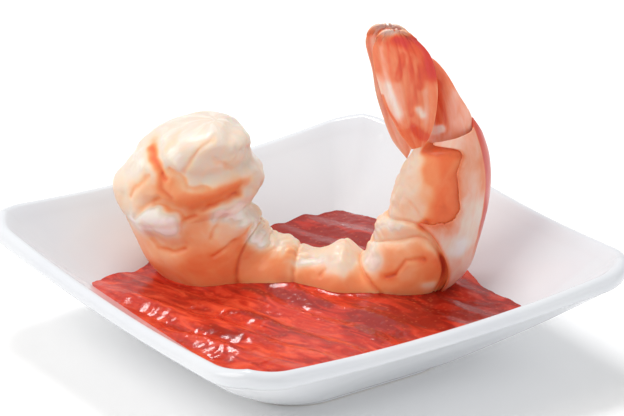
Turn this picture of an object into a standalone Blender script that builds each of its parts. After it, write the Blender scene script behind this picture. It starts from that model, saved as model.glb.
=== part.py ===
"""Shrimp cocktail: one large cooked shrimp, peeled with its tail left on, standing in a small
square porcelain dish of cocktail sauce.

Units are metres, +Z is up, and the origin is the middle of the dish's foot, on the table. The
dish's sides run along X and Y. The shrimp is curled in one upright plane, the curl plane, which
runs along the dish's diagonal. A point of that plane is (along, height), where along grows
towards the dish's +X, -Y corner. The near side of the shrimp faces the -X, -Y corner.
"""

import math

import bmesh
import bpy
from mathutils import Vector

MM = 0.001
GAP = 0.3 * MM  # clearance between neighbouring pieces

# Dish, its half side and height measured to the crest of its lip
RIM_HALF = 39.4 * MM
RIM_HEIGHT = 18.4 * MM
LIP_RADIUS = 1.25 * MM
CORNER_RADIUS = 8.5 * MM  # at the crest of the lip
HOLLOW_CORNER = 3.5 * MM  # at the foot of the hollow's wall
HOLLOW_OPENING = 0.42  # how fast the hollow's corners open towards the lip
FOOT_OPENING = 0.15  # how fast the outside's corners open towards the foot
CORNER_LIFT = 2.2 * MM  # how much higher the lip's corners are than the middles of its sides
WALL_RISE = math.radians(38.2)
WALL_THICKNESS = 2.1 * MM
FLOOR_HEIGHT = 3.4 * MM
FLOOR_FILLET = 9.0 * MM
FOOT_HALF = 19.2 * MM
FOOT_HEIGHT = 2.0 * MM
FOOT_WIDTH = 2.6 * MM
FOOT_RECESS = 1.0 * MM
FOOT_SLOPE = 1.2 * MM
FOOT_EDGE = 0.5 * MM
SIDE_STEPS = 3  # mesh steps along a straight side
CORNER_STEPS = 5  # and round a corner
RING_STEPS = 4 * (SIDE_STEPS + CORNER_STEPS)

# Sauce
SAUCE_LEVEL = 9.0 * MM
SAUCE_HALF = 27.3 * MM  # half the sauce's side, where the hollow's wall passes its level
SAUCE_SHOULDER = 8.0 * MM  # below the lowest wave of the surface
SAUCE_WAVE = 0.28 * MM
SAUCE_MOUND = 1.4 * MM
MOUND_ALONG = -9.0 * MM
MOUND_ACROSS = 3.0 * MM
MOUND_WIDTH = 7.0 * MM
SAUCE_RINGS = 8
CUT_THROUGH = 1.8 * MM  # no film of sauce this thin is left between the shrimp and the dish

# Curl plane
CURL_HEADING = math.radians(-43.0)
CURL_OFFSET = 9.2 * MM  # from the dish's middle towards its +X, +Y corner
CURL_SHIFT = -0.7 * MM  # along the curl plane
CURL_LIFT = 0.4 * MM  # above the table

# The body's sections from the cut head end to the tail: the inner (belly) point and the outer
# (back) point of each in the curl plane, and its half width across the plane, in millimetres.
SECTIONS = (
    ((-12.8, 36.2), (-21.6, 36.0), 6.6),  # cut end
    ((-10.9, 33.8), (-26.2, 33.6), 8.0),
    ((-9.9, 31.2), (-30.2, 31.0), 8.8),
    ((-9.4, 27.8), (-32.8, 27.0), 9.3),
    ((-9.0, 24.6), (-33.4, 23.2), 9.1),
    ((-10.3, 21.6), (-32.2, 18.8), 8.5),  # first joint
    ((-9.2, 19.8), (-30.4, 14.6), 8.4),
    ((-8.2, 18.5), (-27.6, 9.8), 8.0),
    ((-7.4, 17.3), (-22.4, 5.8), 7.4),
    ((-6.4, 15.4), (-15.6, 4.4), 6.7),  # second joint
    ((-3.4, 14.7), (-7.8, 4.0), 6.7),
    ((0.9, 13.4), (-0.4, 4.1), 6.1),  # third joint
    ((5.2, 14.6), (5.4, 4.0), 6.5),
    ((8.2, 13.4), (11.0, 4.2), 6.2),  # fourth joint
    ((9.9, 16.4), (18.2, 5.4), 6.7),
    ((11.0, 18.6), (22.8, 8.2), 6.7),
    ((12.2, 20.4), (26.2, 12.0), 6.3),  # fifth joint
    ((12.6, 22.8), (27.6, 17.0), 6.3),
    ((13.6, 25.8), (28.4, 22.4), 6.1),
    ((15.2, 29.0), (28.7, 27.8), 5.6),
    ((16.8, 31.8), (28.3, 32.4), 4.8),
    ((18.0, 34.2), (27.4, 36.4), 3.9),  # root of the tail fan
    ((19.2, 36.2), (26.6, 39.2), 3.0),
)
LAST = len(SECTIONS) - 1
MEAT_END = 21.15
HEAD_ROUNDING = 1.0  # sections over which each end of the flesh rounds off
TAIL_ROUNDING = 0.55
BACK_FULLNESS = 0.10  # the body is this share wider near its back than at mid height
BODY_RINGS = 60
BODY_AROUND = 28

# Where one segment ends: the section on its belly, the one on its back, and how far its edge
# bows towards the tail on its sides. The last two bound the narrow band at the fifth joint.
JOINTS = (
    (5.0, 5.0, 0.0),
    (9.0, 9.0, 0.0),
    (11.0, 11.0, 0.0),
    (13.0, 13.0, 0.0),
    (14.0, 14.0, 2.3),
    (16.3, 14.5, 1.5),
)
SEGMENT_SWELL = 0.75 * MM
SWELL_SKEW = 1.6  # each segment is fullest towards its rear edge

# Folds pressed into the sides: a path in the curl plane (mm), depth (mm), width (mm), and the
# side it is on (+1 near, -1 far). A negative depth is a bulge.
FOLDS = (
    (((-27.6, 35.0), (-25.0, 31.6), (-21.2, 29.4), (-17.0, 28.6), (-10.5, 29.6)), 1.3, 1.3, 1),
    (((-26.2, 24.4), (-22.6, 24.2), (-19.6, 22.8), (-16.0, 24.6), (-11.0, 26.6)), 1.3, 1.3, 1),
    (((-31.0, 24.0), (-28.0, 28.0)), 0.8, 1.2, 1),
    (((-26.6, 21.4), (-23.0, 21.0)), -1.0, 3.0, 1),
    (((-12.2, 21.6), (-11.2, 20.6)), -0.9, 2.4, 1),
    (((-26.0, 17.6), (-23.0, 15.6), (-20.2, 16.4)), 0.6, 1.0, 1),
    (((-29.0, 31.0), (-22.0, 27.0), (-12.0, 28.6)), 1.1, 1.6, -1),
    (((-31.0, 22.0), (-21.0, 21.0), (-11.0, 23.6)), 1.1, 1.6, -1),
)
FOLD_ONSET = 1.6  # how sharply a fold begins beyond the back and belly lines

# Shell of the last segment, a saddle over its back from the fifth joint to the tail. Its free
# edges are angles from the back, at even steps along it.
SHELL_START = 0.15  # sections behind the last joint
SHELL_MARGIN = 0.6  # sections before it over which the sauce makes room for the shell
SHELL_END = 20.9
SHELL_SPINE = 1.0  # sections that the spine reaches beyond the shell's end
SPINE_WIDTH = 0.25  # radians from the back
SHELL_EDGES = (108.0, 84.0, 65.0, 68.0, 74.0, 72.0, 58.0)
SHELL_THICKNESS = 0.5 * MM
SHELL_CLEARANCE = 0.4 * MM  # from the flesh under it
SHELL_LIFT = 0.9 * MM  # the far half has come a little away from the flesh
LIFT_ONSET = 5.0
SHELL_ROWS = 20
SHELL_COLUMNS = 16

# Tail fan, closed: each plate from its hinge to its tip, as the belly-side and back-side edge
# in the curl plane, in millimetres.
FAN_ROOT = (20.0, 35.0)
FAN_TIP = (13.5, 56.0)
FAN_TAPER = 0.42  # share of the spread lost from root to tip
FAN_PINCH = 0.25  # share of the spread missing at the hinges
FAN_PINCH_LENGTH = 0.2  # share of the fan's length that this reaches
FAN_BEND = 1.1 * MM  # how much closer a plate is to the curl plane at this distance off its axis
FAN_BEND_AT = 8.0 * MM
PLATE_THICKNESS = 0.55 * MM
PLATE_RIB = 0.10 * MM
PLATE_WIDTH = 8.0 * MM  # where it is narrower, its ribs are lower
PLATE_ROWS = 12
PLATE_COLUMNS = 8
TIP_ROUNDING = 0.28  # share of its length over which a plate's tip rounds off
TIP_LEFT = 0.25  # share of the width left at the very tip
OUTER_SPREAD = 4.7 * MM
INNER_SPREAD = 3.0 * MM
NEAR_OUTER = (
    ((17.2, 34.4), (19.2, 35.2)),
    ((14.9, 37.8), (20.4, 37.8)),
    ((12.8, 41.8), (21.2, 41.6)),
    ((11.5, 45.8), (21.3, 45.8)),
    ((10.6, 49.2), (20.6, 49.6)),
    ((10.3, 52.6), (19.0, 52.8)),
    ((10.6, 54.9), (17.4, 55.2)),
)
FAR_OUTER = (
    ((15.5, 29.8), (17.0, 33.4)),
    ((13.0, 33.2), (19.2, 36.4)),
    ((11.3, 37.2), (20.0, 39.6)),
    ((10.2, 41.4), (19.8, 43.2)),
    ((9.6, 45.4), (18.8, 46.4)),
    ((8.7, 49.2), (17.4, 49.4)),
    ((8.2, 51.8), (16.4, 52.0)),
    ((8.4, 53.8), (15.8, 53.6)),
)
INNER = (
    ((18.0, 36.6), (20.6, 37.0)),
    ((16.6, 39.6), (22.0, 39.6)),
    ((15.6, 42.6), (22.0, 42.8)),
    ((14.9, 45.6), (20.8, 45.8)),
    ((14.4, 48.4), (19.8, 48.6)),
    ((14.4, 50.6), (19.0, 50.8)),
)
TELSON = (  # belly edge, back edge and half width
    ((19.3, 35.8), (26.6, 36.4), 1.7),
    ((19.8, 38.2), (25.8, 39.4), 1.7),
    ((20.0, 41.4), (24.2, 42.6), 1.4),
    ((19.4, 44.6), (22.6, 45.8), 1.1),
    ((18.2, 48.8), (20.0, 49.8), 0.8),
)
TELSON_RINGS = 12
TELSON_AROUND = 12
TELSON_ROUNDING = 0.22

COLOURS = {
    "white_porcelain": ((0.86, 0.86, 0.87, 1.0), 0.15),
    "cocktail_sauce": ((0.60, 0.07, 0.035, 1.0), 0.2),
    "cooked_shrimp": ((0.88, 0.52, 0.34, 1.0), 0.35),
    "tail_shell": ((0.86, 0.33, 0.20, 1.0), 0.3),
}


# ---------------------------------------------------------------- tools


def clear_scene():
    """Remove whatever the file opened with."""
    for thing in list(bpy.data.objects):
        bpy.data.objects.remove(thing, do_unlink=True)


def make_material(name):
    """A Principled material from the list of colours."""
    colour, roughness = COLOURS[name]
    material = bpy.data.materials.new(name)
    material.use_nodes = True
    shader = material.node_tree.nodes["Principled BSDF"]
    shader.inputs["Base Color"].default_value = colour
    shader.inputs["Roughness"].default_value = roughness
    shader.inputs["Metallic"].default_value = 0.0
    return material


def add_object(name, build, collection, material):
    """Turn a bmesh into a smooth-shaded object of that name."""
    if build.calc_volume(signed=True) < 0:
        bmesh.ops.reverse_faces(build, faces=build.faces)
    mesh = bpy.data.meshes.new(name)
    build.to_mesh(mesh)
    build.free()
    mesh.shade_smooth()
    mesh.set_sharp_from_angle(angle=math.radians(50))
    mesh.materials.append(material)
    made = bpy.data.objects.new(name, mesh)
    collection.objects.link(made)
    return made


def thicken(made, thickness):
    """Give an open surface its thickness, half to each side."""
    solid = made.modifiers.new("thickness", "SOLIDIFY")
    solid.thickness = thickness
    solid.offset = 0.0


def turned(profile):
    """A profile of (radius, height) points from axis to axis, turned about Z."""
    build = bmesh.new()
    verts = [build.verts.new((radius, 0.0, height)) for radius, height in profile]
    edges = [build.edges.new(pair) for pair in zip(verts, verts[1:])]
    bmesh.ops.spin(
        build,
        geom=verts + edges,
        axis=(0.0, 0.0, 1.0),
        cent=(0.0, 0.0, 0.0),
        steps=RING_STEPS,
        angle=2 * math.pi,
        use_merge=True,
    )
    bmesh.ops.remove_doubles(build, verts=build.verts, dist=0.01 * MM)
    return build


def ball(rings, around):
    """A unit sphere, to be drawn out into a body: its poles are the body's two ends."""
    build = bmesh.new()
    bmesh.ops.create_uvsphere(build, u_segments=around, v_segments=rings, radius=1.0)
    return build


def place_on_ball(point):
    """(share of the way from end to end, angle round) of a point of the unit sphere."""
    share = math.acos(min(max(point.z, -1.0), 1.0)) / math.pi
    return share, math.atan2(point.y, point.x)


def sheet(rows, columns, shape):
    """A grid shaped by a function of two shares, along and across."""
    build = bmesh.new()
    bmesh.ops.create_grid(build, x_segments=rows, y_segments=columns, size=1.0)
    for vert in build.verts:
        vert.co = shape((vert.co.x + 1) / 2, (vert.co.y + 1) / 2)
    return build


def spline(values, place):
    """A smooth curve through evenly spaced values, at a fractional place in their list."""
    last = len(values) - 1
    index = min(int(place), last - 1)
    share = place - index
    before, left, right, after = [
        values[min(max(index + step, 0), last)] for step in (-1, 0, 1, 2)
    ]
    square = share * share
    cube = square * share
    return 0.5 * (
        2 * left
        + (right - before) * share
        + (2 * before - 5 * left + 4 * right - after) * square
        + (3 * left - before - 3 * right + after) * cube
    )


def columns_of(rows):
    """Lists of belly points, back points and any half widths, in metres."""
    found = []
    for values in zip(*rows):
        flat = isinstance(values[0], tuple)
        found.append([(Vector(value) if flat else value) * MM for value in values])
    return found


def to_world(flat, side):
    """A point of the curl plane, moved sideways from it towards the near side."""
    ahead = Vector((math.cos(CURL_HEADING), math.sin(CURL_HEADING), 0.0))
    away = Vector((-math.sin(CURL_HEADING), math.cos(CURL_HEADING), 0.0))
    up = Vector((0.0, 0.0, 1.0))
    return ahead * (flat.x + CURL_SHIFT) + away * (CURL_OFFSET - side) + up * (flat.y + CURL_LIFT)


# ---------------------------------------------------------------- dish


def wall_half(height, thickness=0.0):
    """Half the hollow's side at a height, or the outside's where a wall thickness is given."""
    slope = math.tan(WALL_RISE)
    return SAUCE_HALF + (height - SAUCE_LEVEL) / slope + thickness / math.sin(WALL_RISE)


def floor_half():
    """Half the side of the flat part of the hollow's floor."""
    return wall_half(FLOOR_HEIGHT) - FLOOR_FILLET * math.tan(WALL_RISE / 2)


def fillet_profile(steps):
    """(half side, height) down the hollow's curve from its wall into its floor."""
    points = []
    for step in range(steps + 1):
        turn = WALL_RISE * (1 - step / steps)
        half = floor_half() + FLOOR_FILLET * math.sin(turn)
        points.append((half, FLOOR_HEIGHT + FLOOR_FILLET * (1 - math.cos(turn))))
    return points


def hollow_half(height):
    """Half the hollow's side at a height, with the curve into the floor."""
    if height >= fillet_profile(1)[0][1]:
        return wall_half(height)
    drop = min(max(FLOOR_HEIGHT + FLOOR_FILLET - height, 0.0), FLOOR_FILLET)
    return floor_half() + math.sqrt(FLOOR_FILLET**2 - drop**2)


def corner_radius(half, height):
    """Radius of a corner: tight in the hollow, wider at the lip and on the outside."""
    wall_height = SAUCE_LEVEL + (half - SAUCE_HALF) * math.tan(WALL_RISE)
    outside = (wall_height - height) * math.cos(WALL_RISE) / WALL_THICKNESS
    outside = min(max(outside, 0.0), 1.0)
    hollow = HOLLOW_CORNER + HOLLOW_OPENING * max(half - SAUCE_HALF, 0.0)
    outer = CORNER_RADIUS + max(half - RIM_HALF, FOOT_OPENING * (RIM_HALF - half))
    return min(hollow + (outer - hollow) * outside, 0.6 * half)


def squared(point):
    """Move a point of a turned shape from its circle to a square with rounded corners."""
    half = math.hypot(point.x, point.y)
    step = math.atan2(point.y, point.x) / (2 * math.pi) * RING_STEPS % RING_STEPS
    quarter, step = divmod(round(step), SIDE_STEPS + CORNER_STEPS)
    radius = corner_radius(half, point.z)
    straight = half - radius
    if step < SIDE_STEPS:
        x, y = half, straight * (2 * step / SIDE_STEPS - 1)
    else:
        angle = math.pi / 2 * (step - SIDE_STEPS) / CORNER_STEPS
        x, y = straight + radius * math.cos(angle), straight + radius * math.sin(angle)
    turn = quarter * math.pi / 2
    across = x * math.cos(turn) - y * math.sin(turn)
    along = x * math.sin(turn) + y * math.cos(turn)
    return Vector((across, along, point.z))


def corner_lift(point):
    """How far the dish is raised towards its corners and its lip."""
    widest = max(abs(point.x), abs(point.y))
    if widest == 0:
        return 0.0
    cornering = (min(abs(point.x), abs(point.y)) / widest) ** 2
    return CORNER_LIFT * cornering * (max(point.z, 0.0) / RIM_HEIGHT) ** 3


def dish_profile():
    """(half side, height) from under the foot, out, over the lip and down to the floor."""
    foot_inner = FOOT_HALF - FOOT_WIDTH
    under = [
        (0.0, FOOT_RECESS),
        (foot_inner - FOOT_SLOPE, FOOT_RECESS),
        (foot_inner, 0.0),
        (FOOT_HALF - FOOT_EDGE, 0.0),
        (FOOT_HALF, FOOT_EDGE),
        (FOOT_HALF, FOOT_HEIGHT),
    ]
    heights = (3.6 * MM, 7.0 * MM, 10.5 * MM, 13.2 * MM, 15.6 * MM)
    outside = [(wall_half(height, WALL_THICKNESS), height) for height in heights]
    lip = []
    for degrees in (-40, -5, 30, 60, 90, 125):
        angle = math.radians(degrees)
        half = RIM_HALF + LIP_RADIUS * math.cos(angle)
        lip.append((half, RIM_HEIGHT - LIP_RADIUS + LIP_RADIUS * math.sin(angle)))
    inside = [(wall_half(height), height) for height in (16.6 * MM, 13.5 * MM, 10.0 * MM)]
    return under + outside + lip + inside + fillet_profile(4) + [(0.0, FLOOR_HEIGHT)]


def make_dish(collection):
    """The porcelain dish: foot ring, flared walls, rounded lip and lifted corners."""
    build = turned(dish_profile())
    for vert in build.verts:
        vert.co = squared(vert.co)
        vert.co.z += corner_lift(vert.co)
    return add_object("dish", build, collection, make_material("white_porcelain"))


def settle(point, gap):
    """Press a point that would be in the dish against its wall or floor."""
    reach = max(abs(point.x), abs(point.y))
    room = hollow_half(point.z) - gap / math.sin(WALL_RISE)
    if point.z < RIM_HEIGHT and reach > room:
        point = Vector((point.x * room / reach, point.y * room / reach, point.z))
    point.z = max(point.z, FLOOR_HEIGHT + gap)
    return point


# ---------------------------------------------------------------- shrimp body


def joint_place(joint, angle):
    """The section that a joint's line passes at an angle round the body."""
    belly, back, bow = joint
    return belly + (back - belly) * (1 + math.cos(angle)) / 2 + bow * math.sin(angle) ** 2


def segment_swell(place, angle):
    """How far a segment's band stands out: it climbs to its rear edge, then drops at the joint."""
    edges = [0.0] + [joint_place(joint, angle) for joint in JOINTS] + [float(LAST)]
    for start, end in zip(edges, edges[1:]):
        if place <= end:
            share = min(max((place - start) / (end - start), 0.0), 1.0)
            return SEGMENT_SWELL * (math.sin(math.pi * share**SWELL_SKEW) - 0.5)
    return 0.0


def end_rounding(place):
    """Share of its full size that the flesh has near a rounded end."""
    head = 1.0 - place / HEAD_ROUNDING
    tail = 1.0 - (MEAT_END - place) / TAIL_ROUNDING
    over = max(head, tail, 0.0)
    return math.sqrt(max(1.0 - over * over, 0.0))


def distance_to_path(point, path):
    """Distance in the curl plane from a point to a path of straight runs."""
    nearest = float("inf")
    for start, end in zip(path, path[1:]):
        run = end - start
        share = min(max((point - start).dot(run) / run.length_squared, 0.0), 1.0)
        nearest = min(nearest, (point - start - run * share).length)
    return nearest


def fold_depth(flat, side):
    """Depth of the pressed folds at a point of the curl plane, on the side it faces."""
    depth = 0.0
    for path, deep, wide, facing in FOLDS:
        weight = min(max(FOLD_ONSET * side * facing, 0.0), 1.0)
        if weight:
            near = distance_to_path(flat, [Vector(point) * MM for point in path])
            depth += weight * deep * MM * math.exp(-((near / (wide * MM)) ** 2))
    return depth


def body_point(place, angle, grow=0.0, rounding=1.0):
    """A point of the body's surface. Angle 0 is the back, 90 degrees the near side."""
    bellies, backs, widths = BODY
    inner = spline(bellies, place)
    outer = spline(backs, place)
    width = spline(widths, place)
    reach = (outer - inner).length / 2 * rounding
    outward = (outer - inner).normalized()
    rise = math.cos(angle)
    side = math.sin(angle)
    flat = (inner + outer) / 2 + outward * reach * rise
    stand = (segment_swell(place, angle) - fold_depth(flat, side)) * rounding + grow
    wide = width * rounding * (1 + BACK_FULLNESS * rise)
    return to_world(flat + outward * stand * rise, (wide + stand) * side)


def no_room(place, angle):
    """The body itself has no clearance round it."""
    return 0.0


def shell_room(place, angle):
    """Clearance round the body, with room for the shell where the shell is."""
    over = (place - joint_place(JOINTS[-1], angle) + SHELL_MARGIN) / SHELL_MARGIN
    return GAP + min(max(over, 0.0), 1.0) * (SHELL_CLEARANCE + SHELL_THICKNESS + SHELL_LIFT / 2)


def body_build(room):
    """The whole body from the cut end to the root of the tail, not yet settled in the dish."""
    build = ball(BODY_RINGS, BODY_AROUND)
    for vert in build.verts:
        share, angle = place_on_ball(vert.co)
        place = share * MEAT_END
        vert.co = body_point(place, angle, room(place, angle), end_rounding(place))
    return build


def make_meat(collection):
    """The peeled body: five bare segments and the flesh of the last one."""
    build = body_build(no_room)
    for vert in build.verts:
        vert.co = settle(vert.co, GAP)
    return add_object("shrimp_meat", build, collection, make_material("cooked_shrimp"))


# ---------------------------------------------------------------- tail


def make_shell(collection, material):
    """The last segment's shell, a saddle over its back with a spine over the tail."""

    def shape(share, across):
        angle = math.radians(spline(SHELL_EDGES, share * (len(SHELL_EDGES) - 1)))
        angle *= 1 - 2 * across
        start = joint_place(JOINTS[-1], angle) + SHELL_START
        end = SHELL_END + SHELL_SPINE * math.exp(-((angle / SPINE_WIDTH) ** 2))
        lift = min(max(-LIFT_ONSET * angle, 0.0), 1.0) * math.sin(math.pi * share)
        grow = SHELL_CLEARANCE + SHELL_THICKNESS / 2 + SHELL_LIFT * lift
        return body_point(start + (end - start) * share, angle, grow)

    made = add_object("tail_shell", sheet(SHELL_ROWS, SHELL_COLUMNS, shape), collection, material)
    thicken(made, SHELL_THICKNESS)


def fan_side(flat, spread):
    """Distance of a fan plate from the curl plane: closing to the tip, and curved across."""
    root = Vector(FAN_ROOT) * MM
    axis = Vector(FAN_TIP) * MM - root
    share = min(max((flat - root).dot(axis) / axis.length_squared, 0.0), 1.0)
    off_axis = (flat - root).cross(axis) / axis.length
    pinch = FAN_PINCH * max(1 - share / FAN_PINCH_LENGTH, 0.0)
    bend = FAN_BEND * (off_axis / FAN_BEND_AT) ** 2
    return spread * (1 - FAN_TAPER * share - pinch) - bend


def make_plate(name, stations, spread, facing, collection, material):
    """One ribbed plate of the tail fan, on the side it faces."""
    bellies, backs = columns_of(stations)

    def shape(share, across):
        place = share * (len(stations) - 1)
        belly = spline(bellies, place)
        back = spline(backs, place)
        over = max(1 - (1 - share) / TIP_ROUNDING, 0.0)
        width = TIP_LEFT + (1 - TIP_LEFT) * math.sqrt(1 - over * over)
        flat = (belly + back) / 2 + (back - belly) * (across - 0.5) * width
        rib = PLATE_RIB * math.cos(math.pi * across * PLATE_COLUMNS)
        rib *= min((back - belly).length * width / PLATE_WIDTH, 1.0) ** 2
        return to_world(flat, facing * (fan_side(flat, spread) + rib))

    made = add_object(name, sheet(PLATE_ROWS, PLATE_COLUMNS, shape), collection, material)
    thicken(made, PLATE_THICKNESS)


def make_telson(collection, material):
    """The pointed middle piece of the tail, on the back between the plates."""
    bellies, backs, widths = columns_of(TELSON)
    build = ball(TELSON_RINGS, TELSON_AROUND)
    for vert in build.verts:
        share, angle = place_on_ball(vert.co)
        place = share * (len(TELSON) - 1)
        belly = spline(bellies, place)
        back = spline(backs, place)
        over = max(1 - min(share, 1 - share) / TELSON_ROUNDING, 0.0)
        size = math.sqrt(1 - over * over)
        flat = (belly + back) / 2 + (back - belly) / 2 * size * math.cos(angle)
        vert.co = to_world(flat, spline(widths, place) * size * math.sin(angle))
    add_object("telson", build, collection, material)


def make_tail(collection):
    """The last segment's shell and the closed fan behind it."""
    shell = make_material("tail_shell")
    make_shell(collection, shell)
    make_telson(collection, shell)
    make_plate("uropod_near_outer", NEAR_OUTER, OUTER_SPREAD, 1, collection, shell)
    make_plate("uropod_near_inner", INNER, INNER_SPREAD, 1, collection, shell)
    make_plate("uropod_far_outer", FAR_OUTER, OUTER_SPREAD, -1, collection, shell)
    make_plate("uropod_far_inner", INNER, INNER_SPREAD, -1, collection, shell)


# ---------------------------------------------------------------- sauce


def sauce_height(x, y):
    """Height of the sauce's spooned surface: low waves, and a mound against the shrimp."""
    along = x * math.cos(CURL_HEADING) + y * math.sin(CURL_HEADING)
    across = -x * math.sin(CURL_HEADING) + y * math.cos(CURL_HEADING)
    waves = math.sin(260 * x + 90 * y + 0.6) + 0.8 * math.sin(310 * y - 120 * x)
    off = math.hypot(along - MOUND_ALONG, across - MOUND_ACROSS) / MOUND_WIDTH
    return SAUCE_LEVEL + SAUCE_WAVE * waves + SAUCE_MOUND * math.exp(-off * off)


def sauce_build():
    """The sauce as a block that fills the hollow up to its wavy surface."""
    slant = GAP / math.sin(WALL_RISE)
    edge = SAUCE_HALF - slant
    top = [(edge * ring / SAUCE_RINGS, SAUCE_LEVEL) for ring in range(SAUCE_RINGS + 1)]
    sides = [(wall_half(SAUCE_SHOULDER), SAUCE_SHOULDER)] + fillet_profile(4)
    under = [(half - slant, height + GAP) for half, height in sides]
    build = turned(top + under + [(0.0, FLOOR_HEIGHT + GAP)])
    for vert in build.verts:
        on_top = vert.co.z > SAUCE_SHOULDER + 2 * GAP
        vert.co = squared(vert.co)
        if on_top:
            vert.co.z = sauce_height(vert.co.x, vert.co.y)
            stretch = (wall_half(vert.co.z) - slant) / edge
            vert.co.x *= stretch
            vert.co.y *= stretch
    return build


def cut_through(point):
    """Push a point of the cutter that is close to the dish well into the dish."""
    reach = max(abs(point.x), abs(point.y))
    if reach > hollow_half(point.z) - CUT_THROUGH:
        stretch = 1 + 2 * CUT_THROUGH / reach
        point = Vector((point.x * stretch, point.y * stretch, point.z))
    if point.z < FLOOR_HEIGHT + CUT_THROUGH:
        point.z -= CUT_THROUGH
    return point


def make_sauce(collection, cutters):
    """The sauce fills the hollow up to its level and is cut round the shrimp."""
    material = make_material("cocktail_sauce")
    sauce = add_object("sauce", sauce_build(), collection, material)
    room = body_build(shell_room)
    for vert in room.verts:
        vert.co = cut_through(vert.co)
    cutter = add_object("shrimp_room", room, cutters, material)
    cutter.hide_render = True
    cutter.display_type = "WIRE"
    cut = sauce.modifiers.new("round_the_shrimp", "BOOLEAN")
    cut.operation = "DIFFERENCE"
    cut.object = cutter


def main():
    clear_scene()
    parts = bpy.data.collections.new("shrimp_cocktail")
    cutters = bpy.data.collections.new("cutters")
    for collection in (parts, cutters):
        bpy.context.scene.collection.children.link(collection)
    make_dish(parts)
    make_meat(parts)
    make_tail(parts)
    make_sauce(parts, cutters)


BODY = columns_of(SECTIONS)
main()
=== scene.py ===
"""The looks of the shrimp cocktail: one cooked, tail-on shrimp curled upright in a small square
porcelain dish of cocktail sauce.

Lengths are in metres unless a name ends in mm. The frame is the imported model's: +Z is up, the
origin is the middle of the dish's foot, and the dish's sides run along X and Y. The shrimp curls
in one upright plane, the curl plane. A flat point is (along, height) in that plane, and a side is
a distance off it, positive on the near side of the shrimp, which faces the -X, -Y corner.
"""

from __future__ import annotations

import logging
import math
from collections.abc import Sequence
from dataclasses import dataclass, field
from enum import Enum

import bmesh
import bpy
import numpy as np
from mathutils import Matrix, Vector, noise
from mathutils.bvhtree import BVHTree


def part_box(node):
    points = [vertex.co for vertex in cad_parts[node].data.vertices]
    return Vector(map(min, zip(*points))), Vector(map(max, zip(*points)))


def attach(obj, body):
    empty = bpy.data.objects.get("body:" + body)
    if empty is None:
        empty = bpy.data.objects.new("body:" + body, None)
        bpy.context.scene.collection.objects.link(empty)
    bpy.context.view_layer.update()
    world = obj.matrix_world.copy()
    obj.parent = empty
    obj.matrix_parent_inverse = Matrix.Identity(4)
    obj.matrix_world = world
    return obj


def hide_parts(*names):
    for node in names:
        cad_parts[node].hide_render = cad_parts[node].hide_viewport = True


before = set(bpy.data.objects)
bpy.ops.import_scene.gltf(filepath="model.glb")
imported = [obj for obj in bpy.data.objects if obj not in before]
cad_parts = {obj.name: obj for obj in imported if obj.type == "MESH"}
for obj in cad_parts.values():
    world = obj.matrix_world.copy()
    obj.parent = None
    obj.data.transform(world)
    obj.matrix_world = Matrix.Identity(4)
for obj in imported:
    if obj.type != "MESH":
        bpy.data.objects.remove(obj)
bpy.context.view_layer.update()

LOG = logging.getLogger("shrimp_cocktail")
MM = 0.001
Flat = tuple[float, float]
Colour = tuple[float, float, float, float]
Keyed = dict[str | int, object]
Grid = tuple[bmesh.types.BMesh, np.ndarray, np.ndarray]


# ---------------------------------------------------------------- small tools


def linear(hex_colour: str) -> Colour:
    """Turn an sRGB hex colour into the linear one that shaders take.

    Args:
        hex_colour: six hex digits after a #.

    Returns:
        Red, green, blue and an alpha of 1.
    """
    shares = [int(hex_colour[start : start + 2], 16) / 255 for start in (1, 3, 5)]
    red, green, blue = (
        share / 12.92 if share <= 0.04045 else ((share + 0.055) / 1.055) ** 2.4
        for share in shares
    )
    return red, green, blue, 1.0


def set_node(node: bpy.types.Node, settings: Keyed, links: Keyed | None = None) -> bpy.types.Node:
    """Set a node's values and link what feeds it.

    Args:
        node: the node.
        settings: properties and input values by name, or inputs by number. The key "stops"
            takes (place, hex colour) pairs for a colour ramp.
        links: what feeds its inputs, by their names or numbers. A node stands for its first output.

    Returns:
        The node.
    """
    for key, value in settings.items():
        if key == "stops":
            ramp = node.color_ramp.elements
            for _ in value[len(ramp) :]:
                ramp.new(1.0)
            for element, (place, hex_colour) in zip(ramp, value):
                element.position = place
                element.color = linear(hex_colour)
        elif isinstance(key, str) and hasattr(node, key):
            setattr(node, key, value)
        else:
            node.inputs[key].default_value = value
    for key, source in (links or {}).items():
        socket = source.outputs[0] if isinstance(source, bpy.types.Node) else source
        node.id_data.links.new(socket, node.inputs[key])
    return node


def add_node(
    tree: bpy.types.NodeTree, kind: str, settings: Keyed | None = None, links: Keyed | None = None
) -> bpy.types.Node:
    """Add a shader node of a kind, with its settings and links."""
    return set_node(tree.nodes.new("ShaderNode" + kind), settings or {}, links)


def per_mm(size: float) -> float:
    """Find the pattern scale that gives a size in millimetres."""
    return 1 / (size * MM)


def spline(values: np.ndarray, place: np.ndarray) -> np.ndarray:
    """Follow a smooth curve through evenly spaced values.

    Args:
        values: the numbers or rows that the curve passes.
        place: fractional places in their list.

    Returns:
        The curve's value at each place.
    """
    last = len(values) - 1
    index = np.clip(place.astype(int), 0, last - 1)
    share = place - index
    if values.ndim == 2:
        share = share[:, None]
    before, left, right, after = (
        values[np.clip(index + step, 0, last)] for step in (-1, 0, 1, 2)
    )
    bend = 2 * before - 5 * left + 4 * right - after
    twist = 3 * left - before - 3 * right + after
    return 0.5 * (2 * left + (right - before) * share + bend * share**2 + twist * share**3)


def eased(low: float, high: float, value: np.ndarray) -> np.ndarray:
    """Rise smoothly from 0 at low to 1 at high."""
    share = np.clip((value - low) / (high - low), 0.0, 1.0)
    return share * share * (3 - 2 * share)


def bell(distance: np.ndarray, width: float) -> np.ndarray:
    """Fall from 1 at no distance to a third at one width."""
    return np.exp(-((distance / width) ** 2))


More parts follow.
